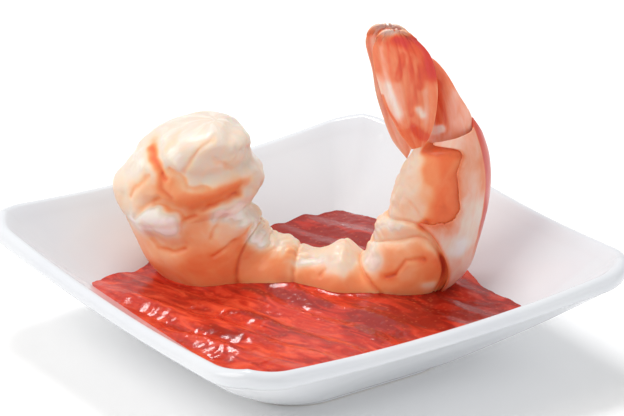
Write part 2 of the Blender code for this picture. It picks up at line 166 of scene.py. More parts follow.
def grain(points: np.ndarray, size: Sequence[float], seed: float = 0.0) -> np.ndarray:
    """Read smooth noise from -1 to 1.

    Args:
        points: rows of coordinates.
        size: how wide a lump is along each coordinate.
        seed: moves the pattern, so that two readings differ.

    Returns:
        One reading a row.
    """
    scaled = points / np.asarray(size)
    return np.array([noise.noise(Vector(row) + Vector((seed, -seed, seed))) for row in scaled])


def distance_to_path(points: np.ndarray, path: Sequence[Flat]) -> np.ndarray:
    """Measure how far flat points are from a path of straight runs.

    Args:
        points: rows of (along, height).
        path: the path's corners, in the same unit.

    Returns:
        One distance a row.
    """
    nearest = np.full(len(points), np.inf)
    for start, end in zip(path, path[1:]):
        first, run = np.array(start), np.array(end) - np.array(start)
        share = np.clip((points - first) @ run / (run @ run), 0.0, 1.0)
        gap = points - first - share[:, None] * run
        nearest = np.minimum(nearest, np.hypot(gap[:, 0], gap[:, 1]))
    return nearest


def turned(profile: Sequence[Flat], steps: int) -> bmesh.types.BMesh:
    """Turn a profile about Z.

    Args:
        profile: (radius, height) points from axis to axis.
        steps: how many steps make a full turn.

    Returns:
        The closed shape.
    """
    build = bmesh.new()
    verts = [build.verts.new((radius, 0.0, height)) for radius, height in profile]
    edges = [build.edges.new(pair) for pair in zip(verts, verts[1:])]
    bmesh.ops.spin(
        build,
        geom=verts + edges,
        axis=(0.0, 0.0, 1.0),
        cent=(0.0, 0.0, 0.0),
        steps=steps,
        angle=2 * math.pi,
        use_merge=True,
    )
    bmesh.ops.remove_doubles(build, verts=build.verts, dist=0.001 * MM)
    return build


def drawn_ball(rings: int, around: int) -> Grid:
    """Make a unit sphere that a body is drawn out of, its poles the body's two ends.

    Args:
        rings: steps from pole to pole.
        around: steps round it.

    Returns:
        The sphere, each vertex's share of the way from end to end, and its angle round.
    """
    build = bmesh.new()
    bmesh.ops.create_uvsphere(build, u_segments=around, v_segments=rings, radius=1.0)
    points = np.array([vert.co for vert in build.verts])
    share = np.arccos(np.clip(points[:, 2], -1.0, 1.0)) / math.pi
    return build, share, np.arctan2(points[:, 1], points[:, 0])


def ruled_sheet(rows: int, columns: int) -> Grid:
    """Make a flat grid that a sheet is shaped from.

    Args:
        rows: steps along it.
        columns: steps across it.

    Returns:
        The grid, and each vertex's shares along and across.
    """
    build = bmesh.new()
    bmesh.ops.create_grid(build, x_segments=rows, y_segments=columns, size=1.0)
    points = np.array([vert.co for vert in build.verts])
    return build, (points[:, 0] + 1) / 2, (points[:, 1] + 1) / 2


def place_verts(build: bmesh.types.BMesh, points: np.ndarray) -> None:
    """Move every vertex of a mesh to its row of points."""
    for vert, point in zip(build.verts, points):
        vert.co = point


def add_piece(
    name: str,
    node: str,
    build: bmesh.types.BMesh,
    finish: Finish,
    marks: dict[str, np.ndarray] | None = None,
    thickness: float = 0.0,
) -> bpy.types.Object:
    """Turn a mesh into a finished piece that stands for a CAD node.

    Args:
        name: the piece's name.
        node: the CAD node that it replaces.
        build: its mesh, which is used up.
        finish: its looks.
        marks: values for each vertex that its finish reads, as numbers or as vectors.
        thickness: of an open sheet, half to each side.

    Returns:
        The piece.
    """
    if build.calc_volume(signed=True) < 0:
        bmesh.ops.reverse_faces(build, faces=build.faces)
    mesh = bpy.data.meshes.new(name)
    build.to_mesh(mesh)
    build.free()
    for mark, values in (marks or {}).items():
        kind, key = ("FLOAT_VECTOR", "vector") if values.ndim == 2 else ("FLOAT", "value")
        layer = mesh.attributes.new(mark, kind, "POINT")
        layer.data.foreach_set(key, values.astype(np.float32).ravel())
    mesh.shade_smooth()
    mesh.materials.append(finish.material())
    piece = bpy.data.objects.new(name, mesh)
    bpy.context.scene.collection.objects.link(piece)
    if thickness:
        wall = piece.modifiers.new("thickness", "SOLIDIFY")
        wall.thickness, wall.offset = thickness, 0.0
        wall.use_even_offset = False
    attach(piece, "root")
    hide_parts(node)
    LOG.info("%s stands for %s: %d vertices", name, node, len(mesh.vertices))
    return piece


def sections(rows: Sequence[tuple], place: np.ndarray) -> list[np.ndarray]:
    """Follow each column of a table of sections.

    Args:
        rows: the sections, in millimetres.
        place: fractional places in their list.

    Returns:
        Each column's values at the places, in metres.
    """
    return [spline(np.array(column) * MM, place) for column in zip(*rows)]


def turned_axes(x: np.ndarray, y: np.ndarray, heading: float) -> tuple[np.ndarray, np.ndarray]:
    """Find how far points are along a heading and to the left of it."""
    cos, sin = math.cos(heading), math.sin(heading)
    return x * cos + y * sin, y * cos - x * sin


# ---------------------------------------------------------------- finishes


@dataclass(frozen=True)
class Finish:
    """What every finish shares: a name, the record's material slot and a Principled shader."""

    name: str
    slot: str

    def begin(self) -> tuple[bpy.types.Material, bpy.types.NodeTree, bpy.types.Node]:
        """Make an empty material.

        Returns:
            The material, its tree and its Principled shader.
        """
        material = bpy.data.materials.new(self.name)
        material.use_nodes = True
        return material, material.node_tree, material.node_tree.nodes["Principled BSDF"]

    def material(self) -> bpy.types.Material:
        """Build the material."""
        return self.begin()[0]


@dataclass(frozen=True)
class GlazedPorcelain(Finish):
    """Hard-paste porcelain, slip cast and fired with a clear glaze.

    It looks cool white and very smooth, with soft waves in the glaze that bend its reflections,
    and it is bare and rough only where the foot stands.
    """

    body: str = "#e2e5e9"
    pooled: str = "#dde0e6"
    bare: str = "#dcd8d2"
    wave_mm: float = 9.0
    wave_relief: float = 0.25
    pool_mm: float = 16.0
    foot_mm: float = 0.35
    glazed_roughness: float = 0.13
    bare_roughness: float = 0.6

    def material(self) -> bpy.types.Material:
        """Build the material."""
        material, tree, shader = self.begin()
        place = add_node(tree, "TexCoord").outputs["Object"]
        noise_size = {"Scale": per_mm(self.pool_mm), "Detail": 2.0}
        pools = add_node(tree, "TexNoise", noise_size, {"Vector": place})
        stops = [(0.35, self.body), (0.75, self.pooled)]
        glaze = add_node(tree, "ValToRGB", {"stops": stops}, {0: pools})
        height = add_node(tree, "SeparateXYZ", None, {0: place}).outputs["Z"]
        foot_height = {"From Min": self.foot_mm * MM, "From Max": 0.5 * self.foot_mm * MM}
        foot = add_node(tree, "MapRange", foot_height, {"Value": height})
        bare = {"data_type": "RGBA", 7: linear(self.bare)}
        colour = add_node(tree, "Mix", bare, {0: foot, 6: glaze}).outputs[2]
        roughness = {"To Min": self.glazed_roughness, "To Max": self.bare_roughness}
        rough = add_node(tree, "MapRange", roughness, {"Value": foot})
        wave_size = {"Scale": per_mm(self.wave_mm), "Detail": 1.0}
        waves = add_node(tree, "TexNoise", wave_size, {"Vector": place})
        relief = {"Strength": self.wave_relief, "Distance": 0.25 * MM}
        bump = add_node(tree, "Bump", relief, {"Height": waves})
        set_node(shader, {"IOR": 1.5}, {"Base Color": colour, "Roughness": rough, "Normal": bump})
        return material


@dataclass(frozen=True)
class CocktailSauce(Finish):
    """Tomato cocktail sauce with grated horseradish, spooned in.

    It looks deep red and wet, a little translucent at its ridges, with fine pulp that breaks up
    its highlights. The piece carries a mark, tone, from 0, deep, to 1, bright, which
    holds painted shade behind and right of the shrimp as well as the sauce's own darker streaks.
    """

    deep: str = "#9c2014"
    middle: str = "#cb321e"
    bright: str = "#ea5434"
    pulp: str = "#e26543"
    streak_mm: tuple[float, float] = (6.5, 2.4)
    streak_heading: float = math.radians(-72.0)
    pulp_mm: float = 1.0
    pulp_relief: float = 0.35
    roughness: float = 0.17
    refraction: float = 1.53
    light: float = 0.35
    light_mm: tuple[float, float, float] = (0.9, 0.25, 0.12)

    def material(self) -> bpy.types.Material:
        """Build the material."""
        material, tree, shader = self.begin()
        place = add_node(tree, "TexCoord").outputs["Object"]
        tone = add_node(tree, "Attribute", {"attribute_name": "tone"}).outputs["Fac"]
        streak = {
            "vector_type": "TEXTURE",
            "Rotation": (0.0, 0.0, self.streak_heading),
            "Scale": (self.streak_mm[0] * MM, self.streak_mm[1] * MM, MM),
        }
        drawn = add_node(tree, "Mapping", streak, {"Vector": place})
        rough_edged = {"Scale": 1.0, "Detail": 3.0, "Roughness": 0.45, "Distortion": 1.2}
        streaks = add_node(tree, "TexNoise", rough_edged, {"Vector": drawn})
        spread = {"From Min": 0.32, "From Max": 0.68, "To Min": -0.42, "To Max": 0.34}
        shift = add_node(tree, "MapRange", spread, {"Value": streaks})
        added = {"operation": "ADD", "use_clamp": True}
        brightness = add_node(tree, "Math", added, {0: tone, 1: shift})
        stops = [(0.05, self.deep), (0.5, self.middle), (0.95, self.bright)]
        red = add_node(tree, "ValToRGB", {"stops": stops}, {0: brightness})
        pulp_scale = per_mm(self.pulp_mm)
        bits = add_node(tree, "TexVoronoi", {"Scale": pulp_scale}, {"Vector": place})
        centres = {"From Min": 0.32, "From Max": 0.10, "To Max": 0.30}
        flecks = add_node(tree, "MapRange", centres, {"Value": bits})
        pulp = {"data_type": "RGBA", 7: linear(self.pulp)}
        colour = add_node(tree, "Mix", pulp, {0: flecks, 6: red}).outputs[2]
        fine = add_node(tree, "TexNoise", {"Scale": pulp_scale, "Detail": 3.0}, {"Vector": place})
        relief = {"Strength": self.pulp_relief, "Distance": 0.2 * MM}
        bump = add_node(tree, "Bump", relief, {"Height": fine})
        looks = {
            "Roughness": self.roughness,
            "IOR": self.refraction,
            "Subsurface Weight": self.light,
            "Subsurface Radius": self.light_mm,
            "Subsurface Scale": MM,
        }
        set_node(shader, looks, {"Base Color": colour, "Normal": bump})
        return material


@dataclass(frozen=True)
class ShrimpFinish(Finish):
    """What flesh and shell share: a colour read from how warm each place of the piece is.

    The pieces carry two marks: warmth, from 0, white, to 1, deep orange, and skin, the place on
    the piece as if it lay straight, so that patterns follow it round the curl.
    """

    stops: tuple[tuple[float, str], ...]
    mottle_mm: tuple[float, float, float]
    mottle: float
    fibre_mm: tuple[float, float, float]
    fibre_relief: float
    roughness: float
    wetness: float
    light: float
    light_mm: tuple[float, float, float] = (2.2, 0.9, 0.45)

    def material(self) -> bpy.types.Material:
        """Build the material."""
        material, tree, shader = self.begin()
        skin = add_node(tree, "Attribute", {"attribute_name": "skin"}).outputs["Vector"]
        warmth = add_node(tree, "Attribute", {"attribute_name": "warmth"}).outputs["Fac"]
        mottle_scale = {"Scale": [per_mm(size) for size in self.mottle_mm]}
        spread = add_node(tree, "Mapping", mottle_scale, {"Vector": skin})
        patchy = {"Scale": 1.0, "Detail": 4.0, "Distortion": 0.4}
        mottle = add_node(tree, "TexNoise", patchy, {"Vector": spread})
        swing = {"From Min": 0.25, "From Max": 0.75, "To Min": -self.mottle, "To Max": self.mottle}
        shifted = add_node(tree, "MapRange", swing, {"Value": mottle})
        added = {"operation": "ADD", "use_clamp": True}
        warm = add_node(tree, "Math", added, {0: warmth, 1: shifted})
        colour = add_node(tree, "ValToRGB", {"stops": self.stops}, {0: warm})
        fibre_scale = {"Scale": [per_mm(size) for size in self.fibre_mm]}
        along = add_node(tree, "Mapping", fibre_scale, {"Vector": skin})
        fibres = add_node(tree, "TexNoise", {"Scale": 1.0, "Detail": 3.0}, {"Vector": along})
        relief = {"Strength": self.fibre_relief, "Distance": 0.3 * MM}
        bump = add_node(tree, "Bump", relief, {"Height": fibres})
        looks = {
            "Roughness": self.roughness,
            "IOR": 1.4,
            "Subsurface Weight": self.light,
            "Subsurface Radius": self.light_mm,
            "Subsurface Scale": MM,
            "Coat Weight": self.wetness,
            "Coat Roughness": 0.12,
            "Coat IOR": 1.35,
        }
        set_node(shader, looks, {"Base Color": colour, "Normal": bump, "Coat Normal": bump})
        return material


@dataclass(frozen=True)
class LitAcrylic(Finish):
    """Matt white acrylic, faintly lit from below as a studio table. It takes a soft shadow."""

    white: str = "#fbfbfb"
    glow: float = 0.06

    def material(self) -> bpy.types.Material:
        """Build the material."""
        material, _, shader = self.begin()
        looks = {
            "Base Color": linear(self.white),
            "Roughness": 0.95,
            "Specular IOR Level": 0.1,
            "Emission Color": linear(self.white),
            "Emission Strength": self.glow,
        }
        set_node(shader, looks)
        return material


# ---------------------------------------------------------------- dish


@dataclass
class Dish:
    """The square porcelain dish: foot ring, flared walls, rounded lip and lifted corners."""

    lip_radius: float = 1.25 * MM
    lip_height: float = 18.4 * MM
    corner_radius: float = 8.5 * MM
    hollow_corner: float = 3.5 * MM
    hollow_opening: float = 0.42
    foot_opening: float = 0.15
    wall_rise: float = math.radians(38.2)
    wall_thickness: float = 2.1 * MM
    wall_half_at_sauce: float = 27.3 * MM
    sauce_level: float = 9.0 * MM
    floor_height: float = 3.4 * MM
    floor_fillet: float = 9.0 * MM
    foot_half: float = 19.2 * MM
    foot_height: float = 2.0 * MM
    foot_width: float = 2.6 * MM
    foot_recess: float = 1.0 * MM
    foot_slope: float = 1.2 * MM
    foot_edge: float = 0.5 * MM
    unevenness: float = 0.12 * MM
    # the share of the corners' full lift that the middle of a rounded corner gets
    lift_reached: float = 0.86
    side_steps: int = 18
    corner_steps: int = 18
    rim_half: float = field(init=False)
    corner_lift: float = field(init=False)

    def __post_init__(self) -> None:
        """Read the dish's side and its corners' lift from its CAD node."""
        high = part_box("dish")[1]
        self.rim_half = high.x - self.lip_radius
        self.corner_lift = (high.z - self.lip_height) / self.lift_reached

    def wall_half(self, height: float, thickness: float = 0.0) -> float:
        """Find half the hollow's side at a height.

        Args:
            height: above the table.
            thickness: of the wall, to get the outside's.

        Returns:
            Half the side.
        """
        run = (height - self.sauce_level) / math.tan(self.wall_rise)
        return self.wall_half_at_sauce + run + thickness / math.sin(self.wall_rise)

    def fillet(self, steps: int) -> list[Flat]:
        """Follow the hollow's curve from its wall into its floor.

        Args:
            steps: how many steps it takes.

        Returns:
            (half side, height) points.
        """
        flat_half = self.wall_half(self.floor_height)
        flat_half -= self.floor_fillet * math.tan(self.wall_rise / 2)
        middle = self.floor_height + self.floor_fillet
        turns = [self.wall_rise * (1 - step / steps) for step in range(steps + 1)]
        return [
            (
                flat_half + self.floor_fillet * math.sin(turn),
                middle - self.floor_fillet * math.cos(turn),
            )
            for turn in turns
        ]

    def hollow_half(self, height: float) -> float:
        """Find half the hollow's side at a height, with the curve into its floor.

        Args:
            height: above the table.

        Returns:
            Half the side.
        """
        if height >= self.fillet(1)[0][1]:
            return self.wall_half(height)
        flat_half = self.fillet(1)[-1][0]
        drop = self.floor_height + self.floor_fillet - height
        drop = min(max(drop, 0.0), self.floor_fillet)
        return flat_half + math.sqrt(self.floor_fillet**2 - drop**2)

    def reach(self, half: float, share: float) -> float:
        """Find how far the hollow's rounded outline reaches in a direction.

        Args:
            half: half its side.
            share: the direction's lesser part, as a share of its greater one.

        Returns:
            The greater part of the point on the outline.
        """
        radius = min(self.hollow_corner, 0.6 * half)
        straight = half - radius
        if share * half <= straight:
            return half
        lean, size = straight * (1 + share), 1 + share**2
        return (lean + math.sqrt(lean**2 - size * (2 * straight**2 - radius**2))) / size

    def corner(self, half: float, height: float) -> float:
        """Find a corner's radius: tight in the hollow, wider at the lip and on the outside.

        Args:
            half: half the side there.
            height: above the table.

        Returns:
            The radius.
        """
        wall_height = self.sauce_level + (half - self.wall_half_at_sauce) * math.tan(self.wall_rise)
        outside = (wall_height - height) * math.cos(self.wall_rise) / self.wall_thickness
        outside = min(max(outside, 0.0), 1.0)
        hollow = self.hollow_corner + self.hollow_opening * max(half - self.wall_half_at_sauce, 0.0)
        past_rim = half - self.rim_half
        outer = self.corner_radius + max(past_rim, -self.foot_opening * past_rim)
        return min(hollow + (outer - hollow) * outside, 0.6 * half)

    def squared(self, point: Vector) -> Vector:
        """Move a point of the turned dish from its circle to a square with rounded corners.

        Args:
            point: on the turned dish.

        Returns:
            The point on the square one.
        """
        steps = 4 * (self.side_steps + self.corner_steps)
        half = math.hypot(point.x, point.y)
        turn = math.atan2(point.y, point.x) / (2 * math.pi) * steps % steps
        quarter, step = divmod(round(turn), self.side_steps + self.corner_steps)
        radius = self.corner(half, point.z)
        straight = half - radius
        if step < self.side_steps:
            x, y = half, straight * (2 * step / self.side_steps - 1)
        else:
            angle = math.pi / 2 * (step - self.side_steps) / self.corner_steps
            x, y = straight + radius * math.cos(angle), straight + radius * math.sin(angle)
        x, y = turned_axes(x, y, -quarter * math.pi / 2)
        return Vector((x, y, point.z))

    def lift(self, point: Vector) -> float:
        """Find how far the dish is raised at a point, towards its corners and its lip.

        Args:
            point: on the dish.

        Returns:
            The rise.
        """
        widest = max(abs(point.x), abs(point.y))
        if widest == 0:
            return 0.0
        cornering = (min(abs(point.x), abs(point.y)) / widest) ** 2
        return self.corner_lift * cornering * (max(point.z, 0.0) / self.lip_height) ** 3

    def profile(self) -> list[Flat]:
        """Draw the dish's half section, from under the foot, out, over the lip and to the floor.

        Returns:
            (half side, height) points.
        """
        foot_inner = self.foot_half - self.foot_width
        edge = self.foot_edge
        under = [
            (foot_inner * share, self.foot_recess) for share in (0.0, 0.3, 0.6, 0.8)
        ] + [
            (foot_inner - self.foot_slope, self.foot_recess),
            (foot_inner - 0.4 * self.foot_slope, 0.35 * self.foot_recess),
            (foot_inner, 0.0),
            (self.foot_half - edge, 0.0),
            (self.foot_half - 0.3 * edge, 0.3 * edge),
            (self.foot_half, edge),
            (self.foot_half, 0.6 * self.foot_height),
            (self.foot_half + 0.1 * MM, 0.85 * self.foot_height),
            (self.foot_half + 0.5 * MM, self.foot_height),
        ]
        heights = np.linspace(2.6 * MM, 16.4 * MM, 22)
        outside = [
            (self.wall_half(height, self.wall_thickness), float(height)) for height in heights
        ]
        lip = [
            (
                self.rim_half + self.lip_radius * math.cos(angle),
                self.lip_height - self.lip_radius + self.lip_radius * math.sin(angle),
            )
            for angle in (math.radians(degrees) for degrees in range(-40, 126, 15))
        ]
        inside = [
            (self.wall_half(height), float(height))
            for height in np.linspace(16.9 * MM, 9.6 * MM, 14)
        ]
        floor_start = self.fillet(10)
        flat_half = floor_start[-1][0]
        floor = [(flat_half * share, self.floor_height) for share in (0.75, 0.5, 0.25, 0.0)]
        return under + outside + lip + inside + floor_start + floor

    def build(self, finish: GlazedPorcelain) -> bpy.types.Object:
        """Build the dish, with the slight waves of a cast and fired wall.

        Args:
            finish: its glaze.

        Returns:
            The piece.
        """
        build = turned(self.profile(), 4 * (self.side_steps + self.corner_steps))
        for vert in build.verts:
            vert.co = self.squared(vert.co)
            vert.co.z += self.lift(vert.co)
        points = np.array([vert.co for vert in build.verts])
        waves = grain(points, (22 * MM, 22 * MM, 12 * MM), 3.1)
        raised = eased(4 * MM, 12 * MM, points[:, 2])
        points[:, 2] += self.unevenness * waves * raised
        place_verts(build, points)
        return add_piece("glazed_dish", "dish", build, finish)


# ---------------------------------------------------------------- shrimp


class Side(Enum):
    """Which side of the shrimp a mark is on."""

    NEAR = 1
    FAR = -1
    BOTH = 0


@dataclass(frozen=True)
class CurlPlane:
    """The upright plane in which the shrimp curls."""

    heading: float = math.radians(-43.0)
    offset: float = 9.2 * MM
    shift: float = -0.7 * MM
    lift: float = 0.4 * MM

    def world(self, flat: np.ndarray, side: np.ndarray) -> np.ndarray:
        """Place flat points in the frame.

        Args:
            flat: rows of (along, height).
            side: how far each is off the plane, towards the near side.

        Returns:
            Rows of X, Y and Z.
        """
        x, y = turned_axes(flat[:, 0] + self.shift, self.offset - side, -self.heading)
        return np.stack((x, y, flat[:, 1] + self.lift), axis=1)


def shown(side: Side, facing: np.ndarray) -> np.ndarray:
    """Find how much a mark on a side shows at each point.

    Args:
        side: that the mark is on.
        facing: from 1, turned to the near side, to -1, turned to the far side.

    Returns:
        From 0 to 1.
    """
    if side is Side.BOTH:
        return np.ones(len(facing))
    return np.clip(1.8 * facing * side.value, 0.0, 1.0)


@dataclass(frozen=True)
class Stroke:
    """A line of relief: a fold, a crease, or with an amount over 0 a bulge.

    The path, amount and width are in millimetres, and the path is flat.
    """

    path: tuple[Flat, ...]
    amount: float
    width: float
    side: Side = Side.NEAR

    def strength(self, flat: np.ndarray, facing: np.ndarray) -> np.ndarray:
        """Find the relief in millimetres at each flat point, with the side that it faces."""
        near = bell(distance_to_path(flat / MM, self.path), self.width)
        return self.amount * shown(self.side, facing) * near


@dataclass(frozen=True)
class Tint:
    """A patch of colour, laid over what is under it: mostly cooked colour, and where marked, painted
    highlight and painted shade.

    The path, width and softness are in millimetres, and the path is flat. The patch is full up to
    its width from the path, fades out over its softness, and is on the near side only.
    """

    path: tuple[Flat, ...]
    warmth: float
    width: float
    softness: float

    def paint(self, warmth: np.ndarray, flat: np.ndarray, facing: np.ndarray) -> np.ndarray:
        """Lay the patch over a piece.

        Args:
            warmth: how orange each point is so far.
            flat: each point's flat place.
            facing: the side that each point faces.

        Returns:
            The new warmth.
        """
        past = np.maximum(distance_to_path(flat / MM, self.path) - self.width, 0.0)
        fade = bell(past, 0.72 * self.softness)
        return warmth + (self.warmth - warmth) * shown(Side.NEAR, facing) * fade


@dataclass(frozen=True)
class Joint:
    """Where one segment ends: its section on the belly and on the back, and how it bows."""

    belly: float
    back: float
    bow: float = 0.0
    groove: float = 1.0

    def place(self, angle: np.ndarray) -> np.ndarray:
        """Find the section that the joint's line passes at each angle round the body."""
        share = (1 + np.cos(angle)) / 2
        return self.belly + (self.back - self.belly) * share + self.bow * np.sin(angle) ** 2


SECTIONS = (
    # (belly point), (back point), half width, from the cut head end to the tail, in millimetres
    ((-12.8, 36.2), (-21.6, 36.0), 6.6),
    ((-10.9, 33.8), (-26.2, 33.6), 8.0),
    ((-9.9, 31.2), (-30.2, 31.0), 8.8),
    ((-9.4, 27.8), (-32.8, 27.0), 9.3),
    ((-9.0, 24.6), (-33.4, 23.2), 9.1),
    ((-10.3, 21.6), (-32.2, 18.8), 8.5),
    ((-9.2, 19.8), (-30.4, 14.6), 8.4),
    ((-8.2, 18.5), (-27.6, 9.8), 8.0),
    ((-7.4, 17.3), (-22.4, 5.8), 7.4),
    ((-6.4, 15.4), (-15.6, 4.4), 6.7),
    ((-3.4, 14.7), (-7.8, 4.0), 6.7),
    ((0.9, 13.4), (-0.4, 4.1), 6.1),
    ((5.2, 14.6), (5.4, 4.0), 6.5),
    ((8.2, 13.4), (11.0, 4.2), 6.2),
    ((9.9, 16.4), (18.2, 5.4), 6.7),
    ((11.0, 18.6), (22.8, 8.2), 6.7),
    ((12.2, 20.4), (26.2, 12.0), 6.3),
    ((12.6, 22.8), (27.6, 17.0), 6.3),
    ((13.6, 25.8), (28.4, 22.4), 6.1),
    ((15.2, 29.0), (28.7, 27.8), 5.6),
    ((16.8, 31.8), (28.3, 32.4), 4.8),
    ((18.0, 34.2), (27.4, 36.4), 3.9),
    ((19.2, 36.2), (26.6, 39.2), 3.0),
)
JOINTS = (
    Joint(5.0, 5.0, groove=0.15),
    Joint(6.9, 9.5, 0.6),
    Joint(10.3, 10.8, groove=0.8),
    Joint(12.9, 13.6, 0.2),
    Joint(14.0, 14.0, 2.8, groove=0.8),
    Joint(16.3, 14.5, 1.7, groove=0.8),
)
FOLDS = (
    Stroke(((-27.6, 35.0), (-25.0, 31.6), (-21.2, 29.4), (-17.0, 28.6), (-10.5, 29.6)), -0.9, 1.3),
    Stroke(((-26.2, 24.4), (-22.6, 24.2), (-19.6, 22.6), (-16.0, 24.4), (-11.0, 26.0)), -0.9, 1.1),
    Stroke(((-31.0, 24.0), (-28.0, 28.0)), -0.5, 1.2),
    Stroke(((-26.6, 20.6), (-23.4, 20.6)), 1.5, 2.8),
    Stroke(((-13.0, 21.0), (-11.4, 20.0)), 1.2, 2.2),
    Stroke(((-24.6, 13.4), (-21.6, 13.2)), 0.6, 2.4),
    Stroke(((-26.0, 17.6), (-23.0, 15.6), (-20.2, 16.4)), -0.4, 1.0),
    Stroke(((-21.0, 26.0), (-17.0, 25.8), (-13.0, 26.6)), 0.35, 1.6),
    Stroke(((-29.0, 31.0), (-22.0, 27.0), (-12.0, 28.6)), -1.0, 1.6, Side.FAR),
    Stroke(((-31.0, 22.0), (-21.0, 21.0), (-11.0, 23.6)), -1.0, 1.6, Side.FAR),
    Stroke(((10.2, 18.0), (12.4, 19.9)), 0.5, 1.1, Side.BOTH),
    # the uneven outline of the head end
    Stroke(((-32.0, 27.2), (-30.8, 29.2)), -1.3, 1.9, Side.BOTH),
    Stroke(((-13.4, 35.8), (-12.6, 34.8)), -0.6, 0.9, Side.BOTH),
    Stroke(((-10.0, 31.6), (-10.0, 30.4)), -0.6, 1.2, Side.BOTH),
    Stroke(((-17.4, 38.2), (-15.4, 38.0)), 0.7, 1.5, Side.BOTH),
    Stroke(((-9.4, 27.6), (-9.2, 26.4)), 0.4, 1.1, Side.BOTH),
)
CREASES = (
    # beside the branch and along the upper edge of the orange fold
    Stroke(((-27.2, 32.4), (-25.6, 31.0), (-24.2, 29.6), (-23.2, 28.6)), -0.32, 0.4),
    Stroke(((-24.2, 29.2), (-23.9, 27.2), (-22.2, 25.6)), -0.22, 0.4),
    Stroke(((-23.2, 30.2), (-21.2, 29.6), (-19.4, 27.4), (-16.6, 27.2)), -0.34, 0.4),
    # along its lower edge
    Stroke(((-25.2, 23.6), (-22.8, 23.6), (-20.6, 21.8), (-19.8, 21.1), (-18.6, 21.9)), -0.38, 0.4),
    Stroke(((-17.2, 22.9), (-15.8, 23.8), (-12.9, 24.3), (-11.7, 25.2)), -0.34, 0.4),
    # round the left lobes
    Stroke(((-26.4, 28.8), (-28.6, 26.6), (-29.4, 24.4)), -0.24, 0.4),
    Stroke(((-24.6, 25.4), (-26.8, 23.4), (-28.4, 20.8)), -0.34, 0.45),
    Stroke(((-26.0, 17.2), (-24.6, 15.4), (-22.4, 14.9), (-20.4, 15.6)), -0.28, 0.4),
    Stroke(((-20.4, 21.0), (-21.0, 18.8)), -0.22, 0.35),
    Stroke(((-14.2, 22.0), (-15.8, 17.8)), -0.22, 0.35),
    Stroke(((-13.4, 20.6), (-12.8, 19.8), (-11.6, 20.0)), -0.20, 0.35),
    Stroke(((-12.4, 17.0), (-15.4, 14.6)), -0.22, 0.35),
    # fine ones on the white top
    Stroke(((-15.6, 35.0), (-18.0, 33.6), (-19.4, 31.6), (-20.4, 29.8)), -0.26, 0.4),
    Stroke(((-15.2, 31.8), (-12.0, 29.4)), -0.2, 0.4),
    Stroke(((-22.4, 34.6), (-23.6, 33.2)), -0.18, 0.5),
    # on the middle and rear segments
    Stroke(((2.0, 11.0), (3.0, 12.0)), -0.16, 0.35),
    Stroke(((13.4, 12.2), (15.0, 12.8), (16.8, 15.4), (19.6, 16.0)), -0.24, 0.35),
    Stroke(((17.2, 25.0), (18.6, 23.0), (20.4, 22.2)), -0.12, 0.4),
)
WHITE, CREAM, PEACH, DEEP = 0.0, 0.18, 0.36, 0.78
PLAIN_WARMTH = (
    # (section place, warmth) of the flesh under its tints
    (0.0, 0.11),
    (2.5, 0.13),
    (4.0, 0.20),
    (6.0, 0.36),
    (9.0, 0.34),
    (13.0, 0.36),
    (15.0, 0.46),
    (18.0, 0.40),
    (21.0, 0.42),
)
